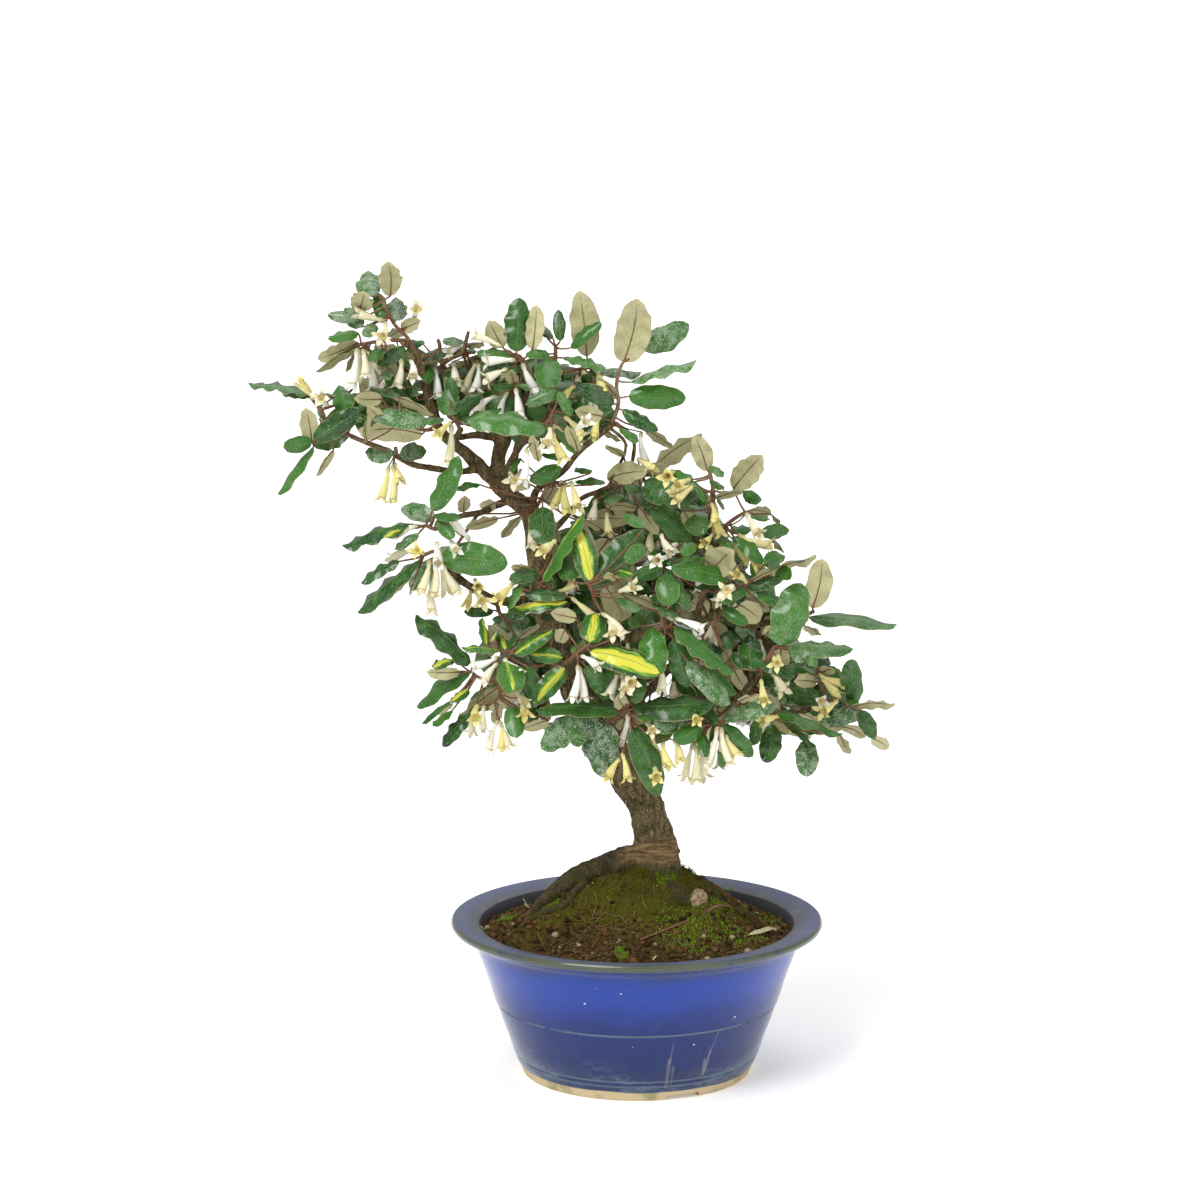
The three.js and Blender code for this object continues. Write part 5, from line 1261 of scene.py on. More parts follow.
def addFlower(bm, limbs, base, mouth, tone, foot, random):
    length = max((mouth - base).length, 10 * mm)
    axis = (mouth - base).normalized()
    _, upper, left = seenFrame(base, mouth, 1, 1)
    start = mouth - axis * length
    size = (0.85 + 0.25 * random()) * mm
    bend = (random() - 0.5) * 0.16 * length
    tone = min(max(tone + (random() - 0.5) * 0.3, 0), 1)

    def tubePlace(point):
        sway = bend * math.sin(math.pi * min(point.z, 1))
        return start + axis * (point.z * length) + left * (point.x * size + sway) + upper * (point.y * size)

    addCopy(bm, tubeTemplateMesh, [3], tubePlace, tone=tone)
    turn = random() * 1.57
    opening = flower["opening"][0] + (flower["opening"][1] - flower["opening"][0]) * random() ** 0.7
    for i in range(4):
        angle = turn + i * math.pi / 2
        outward = left * math.cos(angle) + upper * math.sin(angle)
        along = axis.cross(outward)
        rise = opening + (random() - 0.5) * 0.3
        reach = outward * math.cos(rise) + axis * math.sin(rise)
        normal = axis * math.cos(rise) - outward * math.sin(rise)

        def lobePlace(point):
            y = point.y
            half = flower["lobeHalf"] * (1 - y) ** 0.85 * (0.9 + 0.9 * y)
            curl = 0.5 * math.sin(math.pi * y * 0.9) - 0.9 * y * y + 0.35 * point.x**2
            local = along * (-point.x * half) + reach * (y * flower["lobe"])
            local += normal * (curl + 0.09 * point.z)
            return mouth - axis * 0.3 * mm + (outward * flower["mouth"] + local) * size

        addCopy(bm, lobeTemplate, [3, 3], lobePlace, tone=tone)
    sag = Vector((0, 0, -0.08 * (foot - start).length))
    limbs.append(([foot, foot.lerp(start, 0.5) + sag, start + axis * 0.02 * length], [0.5, 0.38, 0.45]))


def shootPaths(shoot):
    parts = []
    for key in ("twig", "side", "sideTwo"):
        rows = []
        for i, (x, z, *depth) in enumerate(shoot.get(key, [])):
            rows.append((x, z, depth[0] if depth else shoot["depth"], leaf["twig"] - leaf["taper"] * i))
        if rows:
            parts.append([(*shoot["from"], leaf["twigFoot"]), *rows] if key == "twig" else rows)
    return [limbThrough(rows, 6) for rows in parts]


# A leaf's row with the side that shows and the finish
def leafRow(row):
    look = row[5] if len(row) > 5 else plain
    return (*row[:5], down, plain) if look == under else (*row[:5], up, look)


for shoot in shoots.values():
    shoot["limbs"] = shootPaths(shoot)
    shoot["paths"] = [places for places, _ in shoot["limbs"]]
    shoot["seen"] = [[seenPlace(place) for place in path] for path in shoot["paths"]]
    shoot.setdefault("flowers", [])
    shoot["isGolden"] = sum(gold in row[5:] for row in shoot["leaves"]) > 1

for rows, key in ((smallLeaves, "leaves"), (smallFlowers, "flowers")):
    for row in rows:
        spot = seenAt(row[0], row[1], 0)
        near = min(shoots.values(), key=lambda shoot: (nearestOn(shoot["seen"], spot) - spot).length)
        near[key].append(row)


def finishPlant(name, bm, limbs, replaced):
    twigs = tubeMesh(name + "Twigs", limbs, 1)
    addCopy(bm, twigs, [2], None)
    bpy.data.meshes.remove(twigs)
    addPiece(name, meshFrom(bm, name), [leafUpper, leafUnder, twigBark, petal], replaced)


count = {"leaves": 0, "flowers": 0, "unmatched": 0}
for index, (name, shoot) in enumerate(shoots.items()):
    random = seeded(500 + index)
    bm = newPlantMesh()
    limbs = [(places, [radius * 0.85 for radius in radii]) for places, radii in shoot["limbs"]]
    tips = cadTips(name)
    depth = shoot["depth"]
    for row in shoot["leaves"]:
        growLeaf(bm, limbs, leafRow(row), depth, shoot["paths"], tips, random)
    for row in shoot["flowers"]:
        growFlower(bm, limbs, row, depth - 3, lambda base: nearestOn(shoot["paths"], base), tips, random)
    finishPlant(name + "_grown", bm, limbs, [name])
    for bunch, (place, *rows) in shoot.get("bunches", {}).items():
        bm = newPlantMesh()
        tips = cadTips(bunch)
        foot = nearestOn(shoot["paths"], seenAt(*place, depth))
        middle = sum((seenAt(row[0], row[1], depth - 4) for row in rows), Vector()) / len(rows)
        knot = foot + (middle - foot).normalized() * 2 * mm
        limbs = []
        for row in rows:
            growFlower(bm, limbs, row, depth - 4, lambda base: knot, tips, random)
        limbs.append(([foot, knot], [1.2, 0.9]))
        finishPlant(bunch + "_grown", bm, limbs, [bunch])

for index, (name, shoot) in enumerate(farShoots.items()):
    random = seeded(100 + index)
    x, z = shoot["centre"]
    reach = 0.45 * shoot["spread"]
    limb = limbThrough([
        (*shoot["from"], 1.5), (x - 0.2 * reach, z + 0.3 * reach, shoot["depth"] - 4, 1.3),
        (x + 0.3 * reach, z + 0.8 * reach, shoot["depth"] + 8, 1.3),
    ], 6)
    bm = newPlantMesh()
    limbs = [limb]
    tips = cadTips(name)
    leafRandom = seeded(900 + index)
    for i in range(shoot["leaves"]):
        angle = ((i + 0.6 * random()) / shoot["leaves"]) * 2 * math.pi
        nearEnd = (0.15 + 0.2 * random()) * shoot["spread"]
        farEnd = min(nearEnd + 16 + 10 * random(), 1.05 * shoot["spread"])
        depth = shoot["depth"] + 4 + (random() - 0.3) * 16
        row = (
            x + nearEnd * math.cos(angle), z + nearEnd * math.sin(angle), x + farEnd * math.cos(angle),
            z + farEnd * math.sin(angle), 7 + 4 * random(), down if math.sin(angle) > 0 else up, plain,
        )
        growLeaf(bm, limbs, row, depth, [limb[0]], tips, leafRandom)
    finishPlant(name + "_grown", bm, limbs, [name])
print("leaves and flowers grown", count)


# Shoots deeper in the crown, behind the seen ones: a twig with a whorl of leaves and some flowers each. They
# keep to the crown's outline and clear of the gaps that show what is behind it.
inner = {
    "seed": 31,
    "spacing": 14.5,
    "depth": (2, 50),
    "leaves": 6,
    "length": (19, 29),
    "slender": 0.46,
    "flowers": 2.6,
    "twig": (3, 42),
    "scurfy": 0.3,
    "crowns": {
        "lower": [
            (-100, 215), (-88, 232), (-75, 250), (-66, 262), (-52, 280), (-50, 300), (-35, 300), (-20, 318),
            (0, 325), (25, 325), (45, 310), (60, 300), (78, 285), (80, 262), (85, 245), (100, 230),
            (115, 222), (118, 190), (95, 180), (60, 178), (20, 175), (-10, 178), (-40, 185), (-70, 190),
            (-95, 200),
        ],
        "upper": [
            (-160, 345), (-150, 370), (-140, 400), (-120, 400), (-105, 385), (-60, 392), (-20, 385),
            (-5, 365), (-15, 345), (-40, 330), (-52, 335), (-75, 345), (-95, 350), (-130, 350),
        ],
        "left": [(-125, 262), (-105, 300), (-85, 290), (-72, 270), (-95, 262)],
        "arm": [(-175, 345), (-150, 372), (-125, 360), (-128, 345)],
    },
    "gaps": [
        (-90, 329, -80, 341), (-92, 306, -78, 317), (-79, 280, -55, 299), (-93, 261, -78, 269),
        (10, 332, 24, 343), (44, 304, 60, 313),
    ],
}


def isWithin(outline, x, z):
    crossings = 0
    for (x0, z0), (x1, z1) in zip(outline, outline[1:] + outline[:1]):
        if (z0 > z) != (z1 > z) and x < x0 + (z - z0) / (z1 - z0) * (x1 - x0):
            crossings += 1
    return crossings % 2 == 1


def isHidden(point, outline):
    seen = (seenPlace(point) - potAxis) / mm
    inGap = any(x0 < seen.x < x1 and z0 < seen.z < z1 for x0, z0, x1, z1 in inner["gaps"])
    return isWithin(outline, seen.x, seen.z) and not inGap


woodPaths = [limbThrough(rows, 8)[0] for rows in [trunkPath, *limbPaths]]
carriers = woodPaths + [path for shoot in shoots.values() for path in shoot["paths"]]
random = seeded(inner["seed"])
made = {"leaves": 0, "flowers": 0, "twigs": 0}
for crown, outline in inner["crowns"].items():
    bm = newPlantMesh()
    limbs = []
    lowX, highX = min(x for x, z in outline), max(x for x, z in outline)
    lowZ, highZ = min(z for x, z in outline), max(z for x, z in outline)
    step = inner["spacing"]
    for row in range(int((highZ - lowZ) / step / 0.87) + 1):
        for column in range(int((highX - lowX) / step) + 2):
            x = lowX + (column + 0.5 * (row % 2) + 0.6 * (random() - 0.5)) * step
            z = lowZ + (row * 0.87 + 0.6 * (random() - 0.5)) * step
            back = random()
            depth = inner["depth"][0] + (inner["depth"][1] - inner["depth"][0]) * back
            centre = seenAt(x, z, depth)
            if not isHidden(centre, outline):
                continue
            foot = nearestOn(carriers, centre)
            span = (centre - foot).length
            if not inner["twig"][0] * mm <= span <= inner["twig"][1] * mm:
                continue
            middle = foot.lerp(centre, 0.5) + Vector((0, 0, -0.12 * span))
            if not isHidden(middle, outline):
                continue
            axis = (centre - middle).normalized()
            ahead = axis.cross(Vector((0.3, 1, 0.2))).normalized()
            leavesHere = 0
            for i in range(inner["leaves"]):
                angle = i * 2.4 + 0.8 * random()
                outward = Matrix.Rotation(angle, 3, axis) @ ahead
                aim = (outward * 0.9 + axis * (0.25 + 0.5 * random())).normalized()
                base = centre - axis * (1.6 * i * mm) + aim * 2.5 * mm
                length = (inner["length"][0] + (inner["length"][1] - inner["length"][0]) * random()) * mm
                width = length * inner["slender"] * (0.85 + 0.3 * random())
                toEye = (eye - base).normalized()
                facing = 0.9 if random() < 0.88 - 0.75 * back else -0.8
                upper = axis * 0.5 + toEye * facing + Vector((random() - 0.5, 0, random() - 0.5)) * 0.7
                upper = (upper - aim * upper.dot(aim)).normalized()
                left = upper.cross(aim)
                tip = base + aim * length
                mid = base + aim * length * 0.5
                corners = [tip, mid, mid + left * width * 0.5, mid - left * width * 0.5]
                if not all(isHidden(corner, outline) for corner in corners):
                    continue
                finish = scurfy if random() < inner["scurfy"] else plain
                root = centre - axis * (1.6 * i + 2) * mm
                addLeaf(bm, limbs, base, tip, width, upper, left, finish, root, smallLeafTemplate, random)
                leavesHere += 1
            for i in range(int(inner["flowers"] * random() + 0.5)):
                base = centre - axis * (2 + 2 * i) * mm
                drop = Vector((0.9 * (random() - 0.5), 0.7 * (random() - 0.7), -0.9)).normalized()
                mouth = base + drop * (12.5 + 2 * random()) * mm
                if isHidden(mouth, outline) and isHidden(mouth + drop * 3 * mm, outline):
                    addFlower(bm, limbs, base + drop * 2 * mm, mouth, random() ** 1.3, base, random)
                    made["flowers"] += 1
            if leavesHere:
                made["leaves"] += leavesHere
                made["twigs"] += 1
                limbs.append(([foot, middle, centre, centre + axis * mm], [1.0, 0.85, 0.7, 0.3]))
    finishPlant("inner_shoots_" + crown, bm, limbs, [])
print("inner shoots grown", made)

# Trunk, limbs and roots: tubes melted into one skin, then roughened by noise that grows with the girth
wood = {
    "voxel": 0.8 * mm,
    "smoothing": 5,
    "low": (13 * mm, 0.19),
    "mid": (4.2 * mm, 0.13),
    "fine": (1.8 * mm, 0.07),
}
stubs = [
    [(-93, 388), (-88.5, 400), 1.0], [(-104, 389), (-104.5, 396), 1.1],
    [(-80, 388), (-82, 381), (-81, 372), (-73, 366), 0.8], [(-2, 343), (-4.5, 322), 1.0],
    [(-6, 340), (-15, 319), 0.9],
]


def stubPath(places, radius):
    seen = Vector((places[0][0], 0, places[0][1]))
    spots = [((seenPlace(spot) - potAxis) / mm, spot) for path in woodPaths for spot in path]
    near = min(spots, key=lambda pair: (pair[0] - seen).length)[1]
    depth = (near.y - potAxis.y) / mm
    ends = [near] + [seenAt(x, z, depth) for x, z in places]
    return smoothed(ends, 4), [radius * 1.15] * (4 * len(places)) + [radius]


limbs = [limbThrough(rows, 8) for rows in [trunkPath, *limbPaths, *rootPaths]]
limbs += [stubPath(row[:-1], row[-1]) for row in stubs]
bare = tubeMesh("woodTubes", limbs, 4)
blank = addObject("woodBlank", bare)
remesh = blank.modifiers.new("melt", "REMESH")
remesh.mode = "VOXEL"
remesh.voxel_size = wood["voxel"]
smooth = blank.modifiers.new("soften", "SMOOTH")
smooth.iterations = wood["smoothing"]
smooth.factor = 0.5
skin = evaluated(blank)
bpy.data.objects.remove(blank)
bpy.data.meshes.remove(bare)

girths = KDTree(sum(len(places) for places, _ in limbs))
radiusAt = []
for places, radii in limbs:
    for place, radius in zip(places, radii):
        girths.insert(place, len(radiusAt))
        radiusAt.append(radius * mm)
girths.balance()
normals = [vertex.normal.copy() for vertex in skin.vertices]
for vertex, normal in zip(skin.vertices, normals):
    place = vertex.co
    radius = radiusAt[girths.find(place)[1]]
    drawn = Vector((place.x, place.y, place.z * 0.45))
    push = sum(
        share * noise.noise(drawn / size) * (radius if size > 2 * mm else min(radius, 8 * mm))
        for size, share in (wood["low"], wood["mid"], wood["fine"])
    )
    vertex.co = place + normal * (push + 0.02 * radius)
skin.shade_smooth()
addPiece("wood", skin, [bark], ["trunk_and_branches"])
print("wood made,", len(skin.polygons), "faces")


# The pot: its profile spun round the axis, with notches cut through the foot ring
pot = {
    "steps": 96,
    "profile": [
        (54, 0), (60.8, 0), (61.5, 0.5), (62.4, 3), (63.4, 5.2), (64.9, 8.0), (64.75, 8.5), (65.3, 9.1),
        (66.0, 11.0), (65.9, 11.5), (66.6, 12.2), (69, 20), (71.7, 27), (74, 33.5), (75.2, 37.4),
        (75.5, 38.4), (75.1, 38.9), (75.5, 39.4), (76.5, 39.9), (77.1, 42), (78.6, 46.6), (80.1, 52),
        (82.5, 58.9), (84.8, 65), (86.5, 70), (87.7, 73.2), (88.6, 74.7), (90.4, 76.0), (93.6, 77.4),
        (97.2, 78.9), (99.2, 80.2), (100, 81.7), (99.8, 82.9), (98.9, 83.8), (97.2, 84), (94.8, 83.7),
        (91, 83.0), (86.4, 82.0), (84.7, 81.4), (84.0, 80.2), (83.4, 76), (80.4, 64), (70, 34), (58, 12),
        (9, 12), (9, 4), (52, 4),
    ],
    "outerPoints": 32,
    "notchAngles": [-67, 53, 173],
    "notchRadius": 58,
    "notch": (20, 19, 5.2),
    "glazeEnd": 5.0,
}
bm = bmesh.new()
points = [bm.verts.new(potAxis + Vector((radius, 0, height)) * mm) for radius, height in pot["profile"]]
edges = [bm.edges.new(pair) for pair in zip(points, points[1:] + points[:1])]
bmesh.ops.spin(
    bm, geom=points + edges, cent=potAxis, axis=(0, 0, 1), angle=2 * math.pi, steps=pot["steps"],
    use_merge=True,
)
bmesh.ops.remove_doubles(bm, verts=bm.verts[:], dist=1e-6)
bmesh.ops.recalc_face_normals(bm, faces=bm.faces[:])
blank = addObject("potBlank", meshFrom(bm, "potBlank"))
bm = bmesh.new()
for angle in pot["notchAngles"]:
    turn = Matrix.Rotation(math.radians(angle), 4, "Z") @ Matrix.Translation((pot["notchRadius"] * mm, 0, 0))
    size = Matrix.Diagonal((*(side * mm for side in pot["notch"]), 1))
    bmesh.ops.create_cube(bm, size=1, matrix=Matrix.Translation(potAxis) @ turn @ size)
cutter = addObject("notches", meshFrom(bm, "notches"))
cut = blank.modifiers.new("notches", "BOOLEAN")
cut.operation = "DIFFERENCE"
cut.solver = "EXACT"
cut.object = cutter
potMesh = evaluated(blank)
potMesh.shade_smooth()
potMesh.set_sharp_from_angle(angle=math.radians(38))
bpy.data.objects.remove(blank)
bpy.data.objects.remove(cutter)


# The first place along a line of sight, from 100 mm in front of the pot's axis on, that is under a surface
def whereSeen(x, z, isReached):
    for step in range(400):
        spot = seenAt(x, z, -100 + 0.5 * step)
        place = (spot - potAxis) / mm
        if isReached(place):
            break
    return spot


def isOnPot(place):
    outer = pot["profile"][:pot["outerPoints"]]
    for (r0, z0), (r1, z1) in zip(outer, outer[1:]):
        if z0 <= place.z <= z1 and z1 > z0:
            return place.xy.length <= r0 + (r1 - r0) * (place.z - z0) / (z1 - z0)
    return False


# A thin line or a speck on the front of the pot, as a mask that fades at its edge
marked, start, end = newGroup(
    "marked",
    {
        "Place": ("Vector", None), "From": ("Vector", None), "To": ("Vector", None),
        "Width": ("Float", 0.0005),
    },
    {"Mask": "Float"},
)
reach = addNode("VectorMath", {0: start["Place"], 1: start["From"]}, operation="SUBTRACT")[0]
run = addNode("VectorMath", {0: start["To"], 1: start["From"]}, operation="SUBTRACT")[0]
onRun = addNode("VectorMath", {0: reach, 1: run}, operation="DOT_PRODUCT")["Value"]
runSquared = addNode("VectorMath", {0: run, 1: run}, operation="DOT_PRODUCT")["Value"]
share = (onRun / runSquared).clamped()
foot = addNode("VectorMath", {0: run, "Scale": share}, operation="SCALE")[0]
apart = addNode("VectorMath", {0: reach, 1: foot}, operation="DISTANCE")["Value"]
close = (1.0 - apart / start["Width"]).clamped()
fill(end["Mask"], mathOf("POWER", close, 0.7))

# Glaze: cobalt, brighter on the upper body and darker below, with painted shade in a dark band right under
# the lip, a painted grey-blue reflection on the flare, olive on the lip's edge, and bare clay at the foot.
# Marks are seen places from, to, half width in mm and strength.
marks = {
    "scratches": [
        (53, 28, 44, 19, 0.5, 0.4), (44, 19, 40, 9, 0.55, 0.45), (40, 9, 37, -2, 0.9, 0.5),
        (41, 28, 35, 19, 0.35, 0.3), (20, 13, 18, 2, 0.7, 0.3), (18, 4, 16, -11, 1.3, 0.35),
        (20, 0, 18.5, -11, 0.9, 0.3), (37, 4, 36, -4, 1.2, 0.45),
    ],
    "specks": [
        (31, 12.5, 0.5), (-8.5, 41, 0.5), (-22, 44, 0.35), (-28, 35.5, 0.6), (-2, 11, 0.35), (53, 28, 0.6),
    ],
}
glaze, tree, surface = newMaterial("glaze")
place = addNode("Mapping", {0: objectPlace(tree), 1: tuple(-potAxis)})[0]
parts = addNode("SeparateXYZ", {0: place})
height = parts[2] * 1000.0
drift = noiseAt(place, 26.0, 3.0)
level = height + (drift - 0.5) * 16.0
tone = blended(stepped(level, 6, 38), (0.008, 0.02, 0.085), (0.007, 0.019, 0.12))
tone = blended(stepped(level, 38, 66), tone, (0.009, 0.046, 0.33))
# Painted shade: the band right under the overhanging lip is darkened where its underside is in shadow
tone = blended(stepped(level, 69, 78), tone, (0.02, 0.035, 0.11))
cloud = noiseAt(place, 75.0, 5.0, 0.65)
tone = blended(stepped(cloud, 0.5, 0.75) * 0.4, tone, (0.016, 0.05, 0.24))
mist = noiseAt(place, 1100.0, 2.0)
tone = blended(stepped(mist, 0.45, 0.7) * 0.16, tone, (0.06, 0.11, 0.42))
smear = addNode("Mapping", {0: place, 2: (0.0, 0.5, 0.0), 3: (1.0, 1.0, 2.6)})[0]
wisp = stepped(noiseAt(smear, 48.0, 6.0, 0.7), 0.48, 0.68)
low = stepped(height, 26, 11) * wisp
tone = blended(low * 0.6, tone, (0.13, 0.19, 0.23))
pits = useGroup(speckles, {"Place": place, "Scale": 240.0, "Size": 0.06, "Share": 0.1})[0]
tone = blended(pits * 0.8, tone, (0.42, 0.45, 0.5))
line1 = stepped(height, 38.2, 38.8) * stepped(height, 39.9, 39.3)
worn = stepped(noiseAt(place, 90.0), 0.1, 0.5)
tone = blended(line1 * 0.8 * worn, tone, (0.22, 0.31, 0.38))
line2 = stepped(height, 7.8, 8.3) * stepped(height, 9.3, 8.7)
line3 = stepped(height, 10.8, 11.3) * stepped(height, 12.3, 11.7)
tone = blended((line2 + line3) * 0.45, tone, (0.2, 0.28, 0.3))
flatPlace = addNode("CombineXYZ", {0: parts[0], 1: parts[1]})[0]
radius = addNode("VectorMath", {0: flatPlace}, operation="LENGTH")["Value"]
radius = radius * 1000.0
flare = stepped(radius, 99.0, 96.5) * stepped(height, 79.5, 81)
# Painted reflection: the flare's grey-blue tone, greyer towards its inner edge, stands in for the bright
# surround mirrored in the rim's top, where the coat is nearly left off
paintedFlareReflection = blended(stepped(radius, 86, 94), (0.1, 0.107, 0.13), (0.1, 0.12, 0.21))
paintedFlareReflection = blended(stepped(cloud, 0.45, 0.7) * 0.5, paintedFlareReflection, (0.17, 0.175, 0.185))
tone = blended(flare, tone, paintedFlareReflection)
innerWall = stepped(radius, 85.6, 84.6) * stepped(height, 72.5, 75)
tone = blended(innerWall, tone, (0.06, 0.062, 0.075))
lip = stepped(radius, 97.6, 99.0) * stepped(height, 79.8, 81)
lip = lip * stepped(cloud, 0.2, 0.5)
tone = blended(lip * 0.85, tone, (0.085, 0.1, 0.045))
for x0, z0, x1, z1, width, strength in marks["scratches"]:
    ends = [tuple(whereSeen(x, z, isOnPot) - potAxis) for x, z in ((x0, z0), (x1, z1))]
    mask = useGroup(marked, {"Place": place, "From": ends[0], "To": ends[1], "Width": width * mm})[0]
    tone = blended(mask * strength, tone, (0.36, 0.33, 0.26))
for x, z, width in marks["specks"]:
    spot = whereSeen(x, z, isOnPot) - potAxis
    mask = useGroup(
        marked,
        {
            "Place": place, "From": tuple(spot), "To": tuple(spot + Vector((0.2 * mm, 0, 0))),
            "Width": width * mm,
        },
    )[0]
    tone = blended((mask * 2.0).clamped(), tone, (0.75, 0.74, 0.68))
clayEdge = height + (drift - 0.5) * 3.0
isClay = stepped(clayEdge, pot["glazeEnd"] + 0.4, pot["glazeEnd"] - 0.4)
clay = blended(noiseAt(place, 300.0), (0.5, 0.39, 0.22), (0.66, 0.54, 0.34))
clay = blended(stepped(noiseAt(place, 60.0), 0.5, 0.7), clay, (0.34, 0.31, 0.15))
tone = blended(isClay, tone, clay)
ripples = noiseAt(addNode("Mapping", {0: place, 3: (1.0, 1.0, 3.0)})[0], 50.0, 2.0)
shine = 1.0 - isClay
dull = mathOf("MAXIMUM", isClay, mathOf("MAXIMUM", flare, innerWall) * 0.45)
feed(
    surface, BaseColor=tone, Roughness=addNode("MapRange", {0: dull, 3: 0.2, 4: 0.85})[0],
    SpecularIORLevel=0.3, CoatWeight=shine * (0.22 - flare * 0.2), CoatRoughness=0.07,
    Normal=bumped(ripples, 0.12, 0.5),
)
addPiece("glazed_pot", potMesh, [glaze], ["pot"])
print("pot made")

# Soil: a mound that rises to the trunk, covered with crumbs, moss and litter
soil = {
    "radius": 82.9,
    "wall": 82.6,
    "reach": 82,
    "bottom": (57.6, 14),
    "seam": (80.5, 70),
    "edge": 76,
    "rise": 35.5,
    "foot": Vector((8.5, 12)),
    "rings": 46,
    "steps": 150,
}


def moundHeight(x, y):
    reach = Vector((x, y)) - soil["foot"]
    distance = reach.length
    along = reach.normalized() if distance > 0.01 else Vector((1, 0))
    inward = soil["foot"].dot(along)
    toWall = -inward + math.sqrt(inward**2 + soil["wall"] ** 2 - soil["foot"].length_squared)
    t = min(distance / toWall, 1)
    uneven = 1.3 * math.sin(x * 0.21 + 1) * math.cos(y * 0.17) + 0.9 * math.sin(x * 0.09 - y * 0.31)
    height = soil["edge"] + soil["rise"] * (0.5 + 0.5 * math.cos(math.pi * t)) ** 0.9
    return height + uneven * math.sin(math.pi * t)


# Earth is banked up along the roots
banks = []
for rows in rootPaths[:3]:
    places, radii = limbThrough(rows, 6)
    banks += [((place - potAxis) / mm, radius) for place, radius in zip(places, radii)]
bankTree = KDTree(len(banks))
for i, (place, radius) in enumerate(banks):
    bankTree.insert((place.x, place.y, 0), i)
bankTree.balance()


def groundAt(x, y):
    place = Vector((x, y, 0))
    _, near, apart = bankTree.find(place)
    ground = moundHeight(x, y)
    lift = banks[near][0].z - 0.35 * banks[near][1] - ground
    bank = max(lift, 0) * math.exp(-((apart / 11) ** 2))
    rough = 1.1 * noise.noise(place / 9) + 0.7 * noise.noise(place / 3.1 + Vector((7, 3, 1)))
    rough += 0.35 * noise.noise(place / 1.2)
    inside = min(max((soil["wall"] - place.length) / 4, 0), 1)
    return ground + bank + rough * inside


bm = bmesh.new()
bmesh.ops.create_circle(bm, cap_ends=True, segments=soil["steps"], radius=soil["radius"])
bmesh.ops.translate(bm, verts=bm.verts[:], vec=(0, 0, soil["bottom"][1]))
wallTop = bmesh.ops.extrude_edge_only(bm, edges=bm.edges[:])["geom"]
for item in wallTop:
    if isinstance(item, bmesh.types.BMVert):
        item.co.z = soil["seam"][1]
last = [item for item in wallTop if isinstance(item, bmesh.types.BMEdge)]
for i in range(soil["rings"] + 1):
    made = bmesh.ops.extrude_edge_only(bm, edges=last)["geom"]
    verts = [item for item in made if isinstance(item, bmesh.types.BMVert)]
    last = [item for item in made if isinstance(item, bmesh.types.BMEdge)]
    radius = soil["radius"] * (1 - i / soil["rings"]) + 0.4
    for vertex in verts:
        vertex.co = vertex.co.xy.normalized().to_3d() * radius
        vertex.co.z = groundAt(vertex.co.x, vertex.co.y)
bmesh.ops.holes_fill(bm, edges=last)
for vertex in bm.verts:
    for radius, height in (soil["bottom"], soil["seam"]):
        if vertex.co.z == height:
            vertex.co.xy = vertex.co.xy.normalized() * radius
bmesh.ops.recalc_face_normals(bm, faces=bm.faces[:])
for vertex in bm.verts:
    vertex.co = potAxis + vertex.co * mm
soilMesh = meshFrom(bm, "soilMound", 60)

earth, tree, surface = newMaterial("earth")
place = objectPlace(tree)
fine = noiseAt(place, 420.0, 5.0, 0.75)
broad = noiseAt(place, 60.0, 3.0)
tone = blended(stepped(fine, 0.36, 0.68), (0.016, 0.01, 0.003), (0.13, 0.08, 0.028))
tone = blended(stepped(broad, 0.45, 0.7) * 0.6, tone, (0.06, 0.042, 0.016))
height = addNode("SeparateXYZ", {0: place})[2]
risen = height + broad * 0.03
green = stepped(risen, 0.097, 0.108) * stepped(fine, 0.3, 0.5)
tone = blended(green * 0.8, tone, (0.08, 0.08, 0.006))
feed(surface, BaseColor=tone, Roughness=0.95, SpecularIORLevel=0.1, Normal=bumped(fine, 0.9, 1.2))
addPiece("soil_mound", soilMesh, [earth], ["soil"])

# Crumbs of earth and grit, low-faced and each turned and sized by chance
crumbs = {
    "count": 2300,
    "size": (0.7, 2.5),
    "seed": 21,
    "reach": 81.5,
    "mound": (6, 4, 46),
    "clearOfMound": 0.85,
}
random = seeded(crumbs["seed"])
bm = bmesh.new()
tones = bm.verts.layers.float.new("tone")
stone = bmesh.new()
bmesh.ops.create_icosphere(stone, subdivisions=1, radius=1)
stoneMesh = meshFrom(stone, "stone")
moundX, moundY, moundReach = crumbs["mound"]
for i in range(crumbs["count"]):
    radius = crumbs["reach"] * math.sqrt(random())
    angle = random() * 2 * math.pi
    x, y = radius * math.cos(angle), radius * math.sin(angle)
    size = crumbs["size"][0] + (crumbs["size"][1] - crumbs["size"][0]) * random() ** 2.4
    if random() < crumbs["clearOfMound"] and (x - moundX) ** 2 + (y - moundY) ** 2 < moundReach**2:
        continue
    turn = Matrix.Rotation(random() * 6.28, 4, "Z") @ Matrix.Rotation(random() * 3, 4, "X")
    sides = (size * mm, size * (0.6 + 0.4 * random()) * mm, size * (0.5 + 0.4 * random()) * mm, 1)
    spot = potAxis + Vector((x, y, groundAt(x, y) + 0.25 * size)) * mm
    matrix = Matrix.Translation(spot) @ turn @ Matrix.Diagonal(sides)
    addCopy(bm, stoneMesh, [0], matrix.__matmul__, tone=random())
crumb, tree, surface = newMaterial("crumb")
place = objectPlace(tree)
own = attributeOf(tree, "tone")
tone = blended(stepped(own, 0.1, 0.9, False), (0.022, 0.013, 0.004), (0.17, 0.09, 0.032))
tone = blended(stepped(own, 0.955, 0.965), tone, (0.38, 0.3, 0.2))
tone = blended(stepped(noiseAt(place, 600.0), 0.4, 0.7) * 0.7, tone, (0.06, 0.037, 0.016))
